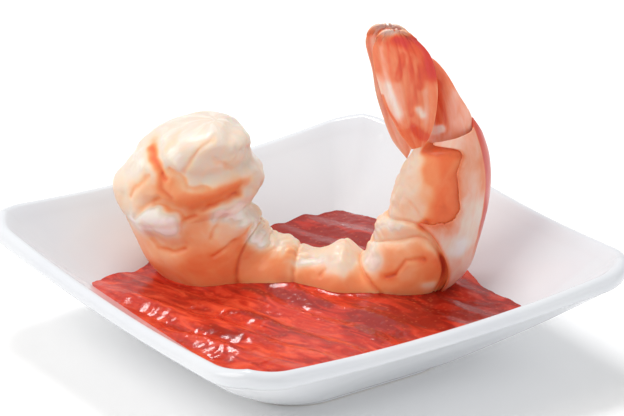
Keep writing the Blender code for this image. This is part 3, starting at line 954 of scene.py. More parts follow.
FLESH_TINTS = (
    # the white top of the head end, creamier towards the belly
    Tint(((-18.0, 31.4), (-12.4, 30.0)), CREAM, 1.6, 2.6),
    Tint(((-30.0, 29.0), (-24.0, 34.0)), 0.10, 2.0, 3.0),
    # the lower lobes, warm towards the sauce
    Tint(((-27.0, 9.0), (-20.0, 8.0), (-12.0, 9.4)), 0.62, 3.4, 4.0),
    Tint(((-26.4, 15.8), (-22.0, 14.4), (-17.0, 14.4), (-13.6, 13.6)), 0.48, 1.2, 3.0),
    Tint(((-19.0, 21.0), (-17.6, 17.8), (-15.6, 15.4)), 0.50, 1.6, 2.4),
    Tint(((-28.4, 18.4), (-25.4, 17.2)), PEACH, 0.8, 1.6),
    Tint(((-18.0, 13.0), (-13.6, 12.4)), 0.70, 1.4, 2.6),
    # the peach hollow behind the fold
    Tint(((-28.8, 25.6), (-26.6, 26.8), (-25.2, 25.0)), 0.34, 1.0, 1.8),
    Tint(((-28.4, 20.6), (-27.6, 22.6)), 0.52, 0.3, 1.0),
    # the orange fold and its thin branch
    Tint(((-23.0, 27.4), (-21.4, 25.6), (-19.8, 24.4)), 0.56, 1.3, 1.5),
    Tint(((-20.0, 24.2), (-16.8, 25.0), (-12.4, 26.2)), 0.66, 1.1, 1.2),
    Tint(((-21.0, 23.2), (-19.7, 22.3)), 0.56, 0.4, 1.0),
    Tint(((-25.0, 24.2), (-22.6, 24.0)), 0.58, 0.15, 0.8),
    Tint(((-26.9, 32.4), (-25.4, 30.8), (-24.3, 29.2), (-23.6, 27.8)), 0.58, 0.25, 0.8),
    # white lobes: the flesh's pale white, with a painted highlight on each bulge
    Tint(((-27.8, 20.2), (-25.0, 21.2), (-22.8, 20.6)), WHITE, 1.0, 2.3),
    Tint(((-14.0, 21.2), (-11.8, 21.4), (-10.6, 19.4)), WHITE, 1.2, 1.4),
    Tint(((-14.8, 18.8), (-12.6, 17.8)), 0.36, 0.6, 1.4),
    # the orange stripe beside the second joint
    Tint(((-10.3, 18.3), (-11.3, 16.8), (-13.0, 15.0)), 0.66, 0.45, 0.7),
    # the second segment
    Tint(((-9.8, 13.8), (-6.0, 12.8), (-2.6, 12.0)), 0.66, 1.3, 2.2),
    # a painted highlight on its upper left
    Tint(((-9.2, 17.6), (-7.4, 16.2), (-5.2, 15.4)), WHITE, 0.6, 1.6),
    Tint(((-3.3, 14.4), (-2.7, 11.6)), 0.56, 0.4, 1.0),
    # the third
    Tint(((0.4, 10.4), (4.0, 10.4), (8.4, 10.2)), 0.64, 1.0, 2.2),
    Tint(((3.4, 13.6), (6.6, 13.2)), CREAM, 1.0, 1.4),
    # a painted highlight on its top
    Tint(((-1.4, 13.2), (1.4, 13.4)), 0.06, 0.3, 1.3),
    # the fourth, up to the joint's bowed line
    Tint(((13.2, 15.0), (17.0, 15.4), (20.6, 13.8)), 0.56, 2.0, 2.4),
    Tint(((11.4, 10.4), (18.0, 10.4)), 0.60, 0.8, 1.6),
    Tint(((12.8, 18.2), (16.0, 18.8)), 0.32, 0.7, 1.4),
    Tint(((9.6, 17.0), (10.4, 14.6)), 0.05, 0.9, 2.1),
    # painted shade, deepening to red towards the rear end where the shell starts
    Tint(((20.6, 15.8), (21.3, 12.6)), 0.70, 0.6, 2.0),
    Tint(((22.5, 15.4), (23.3, 12.8), (22.7, 10.6)), 0.80, 0.2, 1.5),
    Tint(((12.9, 12.2), (14.6, 12.6)), 0.76, 0.3, 0.9),
    Tint(((20.0, 10.8), (21.2, 10.8)), 0.28, 0.1, 1.1),
    # the loose white edge at the rear joint, and the narrow band beside it
    Tint(((15.0, 20.6), (19.4, 20.2), (22.4, 17.6)), 0.36, 0.7, 0.9),
    Tint(((9.4, 17.6), (10.8, 19.2), (13.0, 20.6), (14.8, 20.8)), 0.0, 0.8, 0.7),
    # the last segment's flesh: pale below, deep orange next to the shell
    Tint(((13.6, 23.6), (15.2, 28.2), (17.2, 32.0)), CREAM, 0.8, 3.0),
    Tint(((15.6, 23.4), (18.6, 23.6)), 0.28, 0.8, 1.8),
    Tint(((22.4, 33.6), (23.4, 30.6), (23.6, 26.6), (23.2, 23.8)), DEEP, 1.5, 2.2),
    Tint(((20.6, 33.0), (20.8, 29.8)), 0.66, 0.5, 1.2),
    Tint(((19.4, 34.2), (22.4, 34.8), (24.6, 34.2)), 0.86, 0.4, 0.8),
    Tint(((19.4, 21.6), (21.6, 22.4)), DEEP, 0.4, 0.9),
)


@dataclass
class ShrimpBody:
    """The peeled body in one piece: five bare segments and the flesh of the last one."""

    plane: CurlPlane
    dish: Dish
    meat_end: float = 21.15
    head_rounding: float = 1.0
    tail_rounding: float = 0.55
    fullness: float = 0.10
    swell: float = 0.75 * MM
    swell_skew: float = 1.9
    full_segment: float = 12.0 * MM
    groove_depth: float = 0.36 * MM
    groove_width: float = 0.40 * MM
    lumps: float = 0.24 * MM
    head_lumps: float = 0.9
    ragged: float = 0.26 * MM
    border_wander: float = 0.6 * MM
    border_run: float = 2.2 * MM
    crease_warmth: float = 0.7
    joint_warmth: float = 0.16
    back_warmth: float = 0.24
    clearance: float = 0.1 * MM
    rings: int = 440
    around: int = 208

    def lengths(self) -> tuple[np.ndarray, np.ndarray]:
        """Measure the body's middle line.

        Returns:
            Section places, and the length up to each.
        """
        place = np.linspace(0.0, len(SECTIONS) - 1.0, 200)
        belly, back, _ = sections(SECTIONS, place)
        middle = (belly + back) / 2
        steps = np.linalg.norm(np.diff(middle, axis=0), axis=1)
        return place, np.concatenate(([0.0], np.cumsum(steps)))

    def segment_relief(self, place: np.ndarray, angle: np.ndarray) -> np.ndarray:
        """Find how far the segments' bands stand out, with the grooves between them.

        Args:
            place: section places.
            angle: angles round the body.

        Returns:
            The height over the smooth form.
        """
        measure = self.lengths()
        here = np.interp(place, *measure)
        lines = [np.zeros(len(place))]
        lines += [np.interp(joint.place(angle), *measure) for joint in JOINTS]
        lines += [np.full(len(place), measure[1][-1])]
        height = np.zeros(len(place))
        for start, end in zip(lines, lines[1:]):
            inside = (here >= start) & (here <= end)
            long = np.maximum(end - start, 0.01 * MM)
            share = np.clip((here - start) / long, 0.0, 1.0)
            full = self.swell * np.minimum(long / self.full_segment, 1.0)
            band = full * np.sin(math.pi * share**self.swell_skew) - 0.5 * self.swell
            height = np.where(inside, band, height)
        for joint, line in zip(JOINTS, lines[1:]):
            height -= joint.groove * self.groove_depth * bell(here - line, self.groove_width)
        return height

    def end_rounding(self, place: np.ndarray) -> np.ndarray:
        """Round the flesh's two ends.

        Args:
            place: section places.

        Returns:
            The share of its full size that the flesh has at each.
        """
        head = 1.0 - place / self.head_rounding
        tail = 1.0 - (self.meat_end - place) / self.tail_rounding
        over = np.clip(np.maximum(head, tail), 0.0, 1.0)
        return np.sqrt(1.0 - over * over)

    def surface(
        self,
        place: np.ndarray,
        angle: np.ndarray,
        grow: np.ndarray | float = 0.0,
        rounding: np.ndarray | float = 1.0,
    ) -> tuple[np.ndarray, np.ndarray, np.ndarray]:
        """Find points of the body's surface.

        Args:
            place: section places.
            angle: angles round the body, 0 at the back and a quarter turn on the near side.
            grow: how far outside the flesh the points are.
            rounding: the share of its full size that the body has there.

        Returns:
            The points in the frame, their flat places, and the straightened skin's places.
        """
        inner, outer, width = sections(SECTIONS, place)
        across = outer - inner
        reach = np.linalg.norm(across, axis=1) / 2
        outward = across / (2 * reach[:, None])
        rise, side = np.cos(angle), np.sin(angle)
        flat = (inner + outer) / 2 + outward * (reach * rounding * rise)[:, None]
        pressed = sum(stroke.strength(flat, side) for stroke in FOLDS + CREASES) * MM
        relief = (self.segment_relief(place, angle) + pressed) * rounding
        length = np.interp(place, *self.lengths())
        skin = np.stack((length, reach * rise, width * side), axis=1)
        stand = relief + grow
        wide = width * rounding * (1 + self.fullness * rise)
        world = self.plane.world(flat + outward * (stand * rise)[:, None], (wide + stand) * side)
        return world, flat, skin

    def settle(self, points: np.ndarray) -> np.ndarray:
        """Press points that would be in the dish against its wall or floor.

        Args:
            points: rows of X, Y and Z.

        Returns:
            The same rows, clear of the dish.
        """
        settled = points.copy()
        slant = self.clearance / math.sin(self.dish.wall_rise)
        for point in settled:
            reach = max(abs(point[0]), abs(point[1]))
            if point[2] < self.dish.lip_height:
                room = self.dish.hollow_half(point[2]) - slant
                if reach > room:
                    point[:2] *= room / reach
        floor = self.dish.floor_height + self.clearance
        settled[:, 2] = np.maximum(settled[:, 2], floor)
        return settled

    def warmth(self, place: np.ndarray, angle: np.ndarray, flat: np.ndarray) -> np.ndarray:
        """Find how orange the flesh is.

        Args:
            place: section places.
            angle: angles round the body.
            flat: flat places.

        Returns:
            From 0, white, to 1, deep orange.
        """
        warmth = np.interp(place, *zip(*PLAIN_WARMTH))
        back = (1 + np.cos(angle)) / 2
        warmth += self.back_warmth * (back - 0.4) * eased(2.0, 7.0, place)
        for tint in FLESH_TINTS:
            warmth = tint.paint(warmth, flat, np.sin(angle))
        here = np.interp(place, *self.lengths())
        for joint in JOINTS[1:]:
            gap = here - np.interp(joint.place(angle), *self.lengths())
            warmth += self.joint_warmth * joint.groove * bell(gap, 0.5 * MM)
        folded = sum(crease.strength(flat, np.sin(angle)) for crease in CREASES)
        return np.clip(warmth - self.crease_warmth * folded, 0.0, 1.0)

    def build(self, finish: ShrimpFinish) -> bpy.types.Object:
        """Build the flesh.

        Args:
            finish: its looks.

        Returns:
            The piece.
        """
        build, share, angle = drawn_ball(self.rings, self.around)
        place = share * self.meat_end
        rounding = self.end_rounding(place)
        smooth = self.surface(place, angle)[2]
        soft = grain(smooth, (4.5 * MM, 4.0 * MM, 4.0 * MM), 7.3)
        fine = grain(smooth, (1.7 * MM, 1.5 * MM, 1.5 * MM), 1.9)
        belly = eased(0.55, 0.95, -np.cos(angle))
        torn = np.abs(grain(smooth, (2.6 * MM, 2.0 * MM, 2.0 * MM), 5.2)) * 2 - 0.5
        uneven = 1 + self.head_lumps * (1 - eased(4.0, 6.5, place))
        grow = self.lumps * (soft * uneven + 0.25 * fine) + self.ragged * torn * belly
        points, flat, skin = self.surface(place, angle, grow * rounding, rounding)
        place_verts(build, self.settle(points))
        drift = [grain(smooth, (self.border_run,) * 3, seed) for seed in (11.0, 23.0)]
        wander = np.stack(drift, axis=1)
        warmth = self.warmth(place, angle, flat + self.border_wander * wander)
        marks = {"warmth": warmth, "skin": skin}
        return add_piece("peeled_body", "shrimp_meat", build, finish, marks)


# how much further round than the flesh's the tints of the shell and the spike show
SHELL_WRAP = 0.3
SHELL_TINTS = (
    Tint(((27.6, 36.4), (28.6, 31.0)), 0.47, 1.4, 1.8),
    Tint(((29.0, 31.4), (29.2, 25.8)), 0.58, 1.0, 2.0),
    Tint(((26.2, 30.4), (26.4, 27.4)), 0.44, 0.5, 1.4),
    Tint(((28.0, 24.4), (26.8, 20.6), (25.0, 18.6)), 0.21, 0.8, 2.4),
    Tint(((25.7, 18.2), (25.0, 17.2)), 0.02, 0.4, 1.3),
    Tint(((22.0, 21.6), (24.0, 21.4)), 0.46, 0.5, 1.2),
    Tint(((27.4, 15.6), (25.6, 12.6)), 0.30, 0.9, 1.2),
)
SPIKE_TINTS = (
    Tint(((20.4, 49.8), (22.4, 46.4), (23.4, 44.0)), 0.62, 1.2, 1.2),
    Tint(((24.6, 42.6), (25.8, 39.8), (26.6, 37.4)), 0.42, 1.0, 1.2),
    Tint(((20.8, 45.0), (21.5, 41.0), (22.0, 37.8)), 0.74, 0.8, 0.6),
    # a painted highlight at the spike's base
    Tint(((20.4, 37.0), (21.8, 37.6)), 0.08, 0.35, 0.6),
)
NEAR_PLATE_TINTS = (
    Tint(((11.2, 47.0), (12.0, 43.4), (13.6, 40.0)), 0.24, 0.4, 1.6),
    Tint(((13.0, 45.4), (13.9, 43.0), (14.8, 41.0)), 0.10, 0.15, 1.2),
    Tint(((12.2, 43.6), (13.2, 41.2), (14.8, 38.8)), 0.66, 0.12, 0.3),
    Tint(((15.6, 51.0), (14.8, 47.0)), 0.80, 0.3, 0.5),
    Tint(((17.0, 50.6), (16.6, 45.0), (17.2, 41.0)), 0.74, 0.2, 0.5),
    Tint(((18.8, 50.6), (18.6, 46.0)), 0.84, 0.4, 0.6),
    # a painted highlight
    Tint(((18.3, 42.0), (18.9, 41.0)), 0.18, 0.05, 0.8),
    Tint(((14.6, 54.6), (17.6, 53.8), (20.0, 51.0), (20.4, 48.6)), 0.96, 1.0, 1.6),
    Tint(((17.6, 38.6), (19.4, 37.0)), 0.84, 0.4, 0.8),
    Tint(((10.4, 53.8), (10.6, 51.0), (11.0, 48.8)), 0.55, 0.6, 1.8),
    Tint(((13.6, 55.0), (12.0, 53.0)), 0.66, 0.3, 0.8),
)
FAR_PLATE_TINTS = (
    Tint(((9.4, 46.0), (11.2, 39.6), (14.0, 33.2)), 0.38, 2.4, 2.0),
    Tint(((8.8, 50.0), (9.6, 47.0)), 0.30, 1.2, 1.4),
    Tint(((8.6, 54.0), (12.0, 54.4)), 0.50, 1.0, 1.6),
)


@dataclass
class TailShell:
    """The shell left on the last segment: a saddle over its back that closes round the tail."""

    body: ShrimpBody
    start: float = 0.15
    end: float = 21.35
    spine: float = 0.6
    spine_width: float = 0.22
    # degrees from the back to its near edge, at even steps from front to rear
    near_edge: tuple[float, ...] = (
        102.0, 86.0, 77.0, 67.0, 58.0, 57.0, 63.0, 67.0, 68.0, 64.0, 61.0, 70.0, 90.0,
    )
    far_edge: float = 96.0
    collar: float = 116.0
    collar_start: tuple[float, float] = (0.87, 0.985)
    thickness: float = 0.35 * MM
    gap: float = 0.22 * MM
    far_lift: float = 0.45 * MM
    far_from: float = math.radians(20.0)
    edge_wave: float = 3.0
    crumple: float = 0.10 * MM
    plain_warmth: float = 0.34
    far_warmth: float = 0.96
    rows: int = 200
    columns: int = 120

    def build(self, finish: ShrimpFinish) -> bpy.types.Object:
        """Build the saddle of shell.

        Args:
            finish: its looks.

        Returns:
            The piece.
        """
        build, share, across = ruled_sheet(self.rows, self.columns)
        near = spline(np.array(self.near_edge), share * (len(self.near_edge) - 1))
        edge = np.where(across < 0.5, near, self.far_edge)
        edge += (self.collar - edge) * eased(*self.collar_start, share)
        reading = np.stack((share * 14, np.sign(across - 0.5), np.zeros(len(share))), axis=1)
        edge += self.edge_wave * grain(reading, (1.0, 1.0, 1.0), 4.4)
        edge += 0.5 * self.edge_wave * grain(reading, (0.3, 1.0, 1.0), 9.1)
        angle = np.radians(edge) * (1 - 2 * across)
        first = JOINTS[-1].place(angle) + self.start
        last = self.end + self.spine * bell(angle, self.spine_width)
        place = first + (last - first) * share
        lifted = eased(self.far_from, -self.far_from, angle)
        lifted *= eased(0.28, 0.55, share) * eased(1.0, 0.9, share)
        smooth = self.body.surface(place, angle)[2]
        crumple = grain(smooth, (3.0 * MM, 2.0 * MM, 2.0 * MM), 2.7)
        grow = self.gap + self.thickness / 2 + self.far_lift * lifted + self.crumple * crumple
        points, flat, skin = self.body.surface(place, angle, grow)
        place_verts(build, points)
        warmth = np.full(len(share), self.plain_warmth)
        for tint in SHELL_TINTS:
            warmth = tint.paint(warmth, flat, np.sin(angle) + SHELL_WRAP)
        rim = edge * (1 - np.abs(1 - 2 * across))
        warmth += 0.22 * bell(rim, 5.0) + 0.30 * bell(share, 0.03)
        past_ridge = eased(self.far_from, 0.7 * self.far_from, angle)
        warmth += (self.far_warmth - warmth) * past_ridge * eased(0.15, 0.45, share)
        marks = {"warmth": np.clip(warmth, 0.0, 1.0), "skin": skin}
        return add_piece("last_shell", "tail_shell", build, finish, marks, self.thickness)


@dataclass(frozen=True)
class PlateForm:
    """One plate of the tail fan: its belly edge and back edge from hinge to tip."""

    name: str
    node: str
    side: Side
    spread: float
    stations: tuple[tuple[Flat, Flat], ...]
    tints: tuple[Tint, ...] = ()
    ragged: float = 0.75 * MM
    dome: float = 0.5 * MM


@dataclass
class TailFan:
    """The closed tail fan: a pointed middle piece and two plates on each side of it."""

    plane: CurlPlane
    root: Flat = (20.0 * MM, 35.0 * MM)
    tip: Flat = (13.5 * MM, 56.0 * MM)
    taper: float = 0.42
    pinch: float = 0.25
    pinch_length: float = 0.2
    bend: float = 1.1 * MM
    bend_at: float = 8.0 * MM
    thickness: float = 0.40 * MM
    rib: float = 0.055 * MM
    ribs: int = 3
    full_width: float = 8.0 * MM
    tip_rounding: float = 0.28
    tip_left: float = 0.25
    rows: int = 180
    columns: int = 96
    spike_rounding: float = 0.16
    spike_rings: int = 120
    spike_around: int = 72
    plate_warmth: float = 0.62
    spike_warmth: float = 0.46

    OUTER_SPREAD = 4.7 * MM
    INNER_SPREAD = 3.0 * MM
    NEAR_OUTER = (
        ((17.2, 34.4), (19.2, 35.2)),
        ((14.9, 37.8), (20.4, 37.8)),
        ((12.8, 41.8), (21.2, 41.6)),
        ((11.5, 45.8), (21.3, 45.8)),
        ((10.6, 49.2), (20.6, 49.6)),
        ((10.3, 52.6), (19.0, 52.8)),
        ((10.6, 54.9), (17.4, 55.2)),
    )
    FAR_OUTER = (
        ((15.5, 29.8), (17.0, 33.4)),
        ((13.0, 33.2), (19.2, 36.4)),
        ((11.3, 37.2), (20.0, 39.6)),
        ((10.2, 41.4), (19.8, 43.2)),
        ((9.6, 45.4), (18.8, 46.4)),
        ((8.7, 49.2), (17.4, 49.4)),
        ((8.2, 51.8), (16.4, 52.0)),
        ((8.4, 53.8), (15.8, 53.6)),
    )
    INNER = (
        ((18.0, 36.6), (20.2, 37.0)),
        ((16.6, 39.6), (20.6, 39.6)),
        ((15.6, 42.6), (20.6, 42.8)),
        ((14.9, 45.6), (19.8, 45.8)),
        ((14.4, 48.4), (19.0, 48.6)),
        ((14.4, 50.6), (18.4, 50.8)),
    )
    SPIKE = (
        # belly edge, back edge and half width
        ((19.4, 33.4), (27.4, 34.6), 2.6),
        ((19.2, 35.8), (27.2, 37.2), 2.2),
        ((19.8, 38.6), (26.3, 40.0), 1.9),
        ((20.0, 41.6), (24.5, 43.0), 1.5),
        ((19.4, 44.8), (22.7, 46.2), 1.1),
        ((18.2, 48.8), (20.1, 49.9), 0.8),
    )

    def off_plane(self, flat: np.ndarray, spread: float) -> np.ndarray:
        """Find how far a plate is from the curl plane: closing to the tip, curved across.

        Args:
            flat: rows of (along, height).
            spread: the plate's distance at its hinge.

        Returns:
            One distance a row.
        """
        root = np.array(self.root)
        axis = np.array(self.tip) - root
        share = np.clip((flat - root) @ axis / (axis @ axis), 0.0, 1.0)
        apart = flat - root
        off_axis = (apart[:, 0] * axis[1] - apart[:, 1] * axis[0]) / np.linalg.norm(axis)
        pinch = self.pinch * np.maximum(1 - share / self.pinch_length, 0.0)
        return spread * (1 - self.taper * share - pinch) - self.bend * (off_axis / self.bend_at) ** 2

    def build_plate(self, form: PlateForm, finish: ShrimpFinish) -> bpy.types.Object:
        """Build one ribbed plate with its frayed edge.

        Args:
            form: its outline and side.
            finish: its looks.

        Returns:
            The piece.
        """
        build, share, across = ruled_sheet(self.rows, self.columns)
        belly, back = sections(form.stations, share * (len(form.stations) - 1))
        over = np.maximum(1 - (1 - share) / self.tip_rounding, 0.0)
        width = self.tip_left + (1 - self.tip_left) * np.sqrt(1 - over * over)
        flat = (belly + back) / 2 + (back - belly) * ((across - 0.5) * width)[:, None]
        wide = np.linalg.norm(back - belly, axis=1) * width
        cross = np.stack((across * 7, share * 2, np.full(len(share), form.spread / MM)), axis=1)
        fray = grain(cross, (0.6, 1.0, 1.0), 2.2) + 0.6 * grain(cross, (0.22, 1.0, 1.0), 5.0)
        axis = np.array(self.tip) - np.array(self.root)
        axis /= np.linalg.norm(axis)
        flat = flat + axis * (form.ragged * (fray - 0.4) * eased(0.70, 1.0, share))[:, None]
        drift = across + 0.04 * grain(cross, (3.0, 0.6, 1.0), 6.6)
        ribs = np.cos(2 * math.pi * drift * self.ribs) + 0.5 * np.cos(2 * math.pi * drift * 9.7)
        low = np.minimum(wide / self.full_width, 1.0) ** 2
        dome = form.dome * np.sin(math.pi * share) * (1 - (2 * across - 1) ** 2)
        side = form.side.value * (self.off_plane(flat, form.spread) + ribs * self.rib * low + dome)
        place_verts(build, self.plane.world(flat, side))
        long = np.stack((drift * 8, share * 1.1, np.full(len(share), form.spread)), axis=1)
        streaks = grain(long, (1.0, 1.0, 1.0), 8.1) + 0.5 * grain(long, (0.4, 0.8, 1.0), 3.3)
        warmth = np.full(len(share), self.plate_warmth)
        for tint in form.tints:
            warmth = tint.paint(warmth, flat, np.ones(len(share)))
        warmth += 0.16 * streaks
        tip = eased(0.90, 1.0, share + 0.04 * fray)
        warmth += (0.25 - warmth) * 0.8 * tip
        skin = np.stack((share * 22 * MM, wide * (across - 0.5), side), axis=1)
        marks = {"warmth": np.clip(warmth, 0.0, 1.0), "skin": skin}
        return add_piece(form.name, form.node, build, finish, marks, self.thickness)

    def build_spike(self, finish: ShrimpFinish) -> bpy.types.Object:
        """Build the telson, the pointed middle piece on the back between the plates.

        Args:
            finish: its looks.

        Returns:
            The piece.
        """
        build, share, angle = drawn_ball(self.spike_rings, self.spike_around)
        belly, back, width = sections(self.SPIKE, share * (len(self.SPIKE) - 1))
        over = np.maximum(1 - np.minimum(share, 1 - share) / self.spike_rounding, 0.0)
        size = np.sqrt(1 - over * over)
        flat = (belly + back) / 2 + (back - belly) / 2 * (size * np.cos(angle))[:, None]
        side = width * size * np.sin(angle)
        place_verts(build, self.plane.world(flat, side))
        warmth = np.full(len(share), self.spike_warmth)
        for tint in SPIKE_TINTS:
            warmth = tint.paint(warmth, flat, np.sin(angle) + SHELL_WRAP)
        skin = np.stack((share * 16 * MM, side, (back - belly)[:, 0] * np.cos(angle)), axis=1)
        marks = {"warmth": np.clip(warmth, 0.0, 1.0), "skin": skin}
        return add_piece("tail_spike", "telson", build, finish, marks)

    def build(self, finish: ShrimpFinish) -> None:
        """Build the spike and all four plates.

        Args:
            finish: their looks.
        """
        self.build_spike(finish)
        outer = (self.NEAR_OUTER, NEAR_PLATE_TINTS), (self.FAR_OUTER, FAR_PLATE_TINTS)
        for side, (stations, tints) in zip((Side.NEAR, Side.FAR), outer):
            word = side.name.lower()
            for form in (
                PlateForm(
                    f"{word}_fan_plate",
                    f"uropod_{word}_outer",
                    side,
                    self.OUTER_SPREAD,
                    stations,
                    tints,
                ),
                PlateForm(
                    f"{word}_inner_plate",
                    f"uropod_{word}_inner",
                    side,
                    self.INNER_SPREAD,
                    self.INNER,
                ),
            ):
                self.build_plate(form, finish)


# ---------------------------------------------------------------- sauce


@dataclass(frozen=True)
class Spooning:
    """A run of the sauce's surface that the spoon left its marks in, in millimetres."""

    path: tuple[Flat, ...]
    amount: float
    width: float

    def cover(self, points: np.ndarray) -> np.ndarray:
        """Find how much of the marks each X, Y point has."""
        return self.amount * bell(distance_to_path(points / MM, self.path), self.width)


RIPPLED = (
    Spooning(((-15.4, 20.0), (-12.9, 16.4), (-10.6, 9.8)), 0.8, 1.7),
    Spooning(((-16.2, 7.4), (-14.6, 2.2), (-12.8, -4.0)), 1.1, 2.2),
    Spooning(((-24.6, 15.0), (-23.8, 9.2), (-23.4, 2.9), (-22.8, -3.0)), 1.1, 3.0),
    Spooning(((-24.6, -9.0), (-21.9, -8.6), (-17.9, -7.4)), 0.9, 2.4),
    Spooning(((-2.9, -3.0), (-2.6, -7.0)), 0.6, 1.1),
)
PAINTED_SHADE_AND_STREAKS = (
    # where the sauce is darker: painted shade behind and right of the shrimp, darker along its foot,
    # and the sauce's own darker streaks
    # painted shade right of the tail, where its shadow falls
    Spooning(((22.0, -20.0), (14.0, -15.6), (5.0, -15.0)), 0.75, 6.0),
    # darker along the front of the shrimp's foot
    Spooning(((-7.0, 8.0), (-3.0, 2.0), (1.0, -4.0)), 0.5, 1.6),
    # the sauce's own darker streaks
    Spooning(((-12.4, 0.4), (-9.6, -6.4), (-8.0, -12.0)), 0.55, 1.7),
    Spooning(((-20.6, -2.6), (-18.6, -5.8)), 0.55, 1.8),
    # painted shade behind the shrimp
    Spooning(((14.0, 14.0), (24.0, 24.0)), 1.0, 14.0),
)


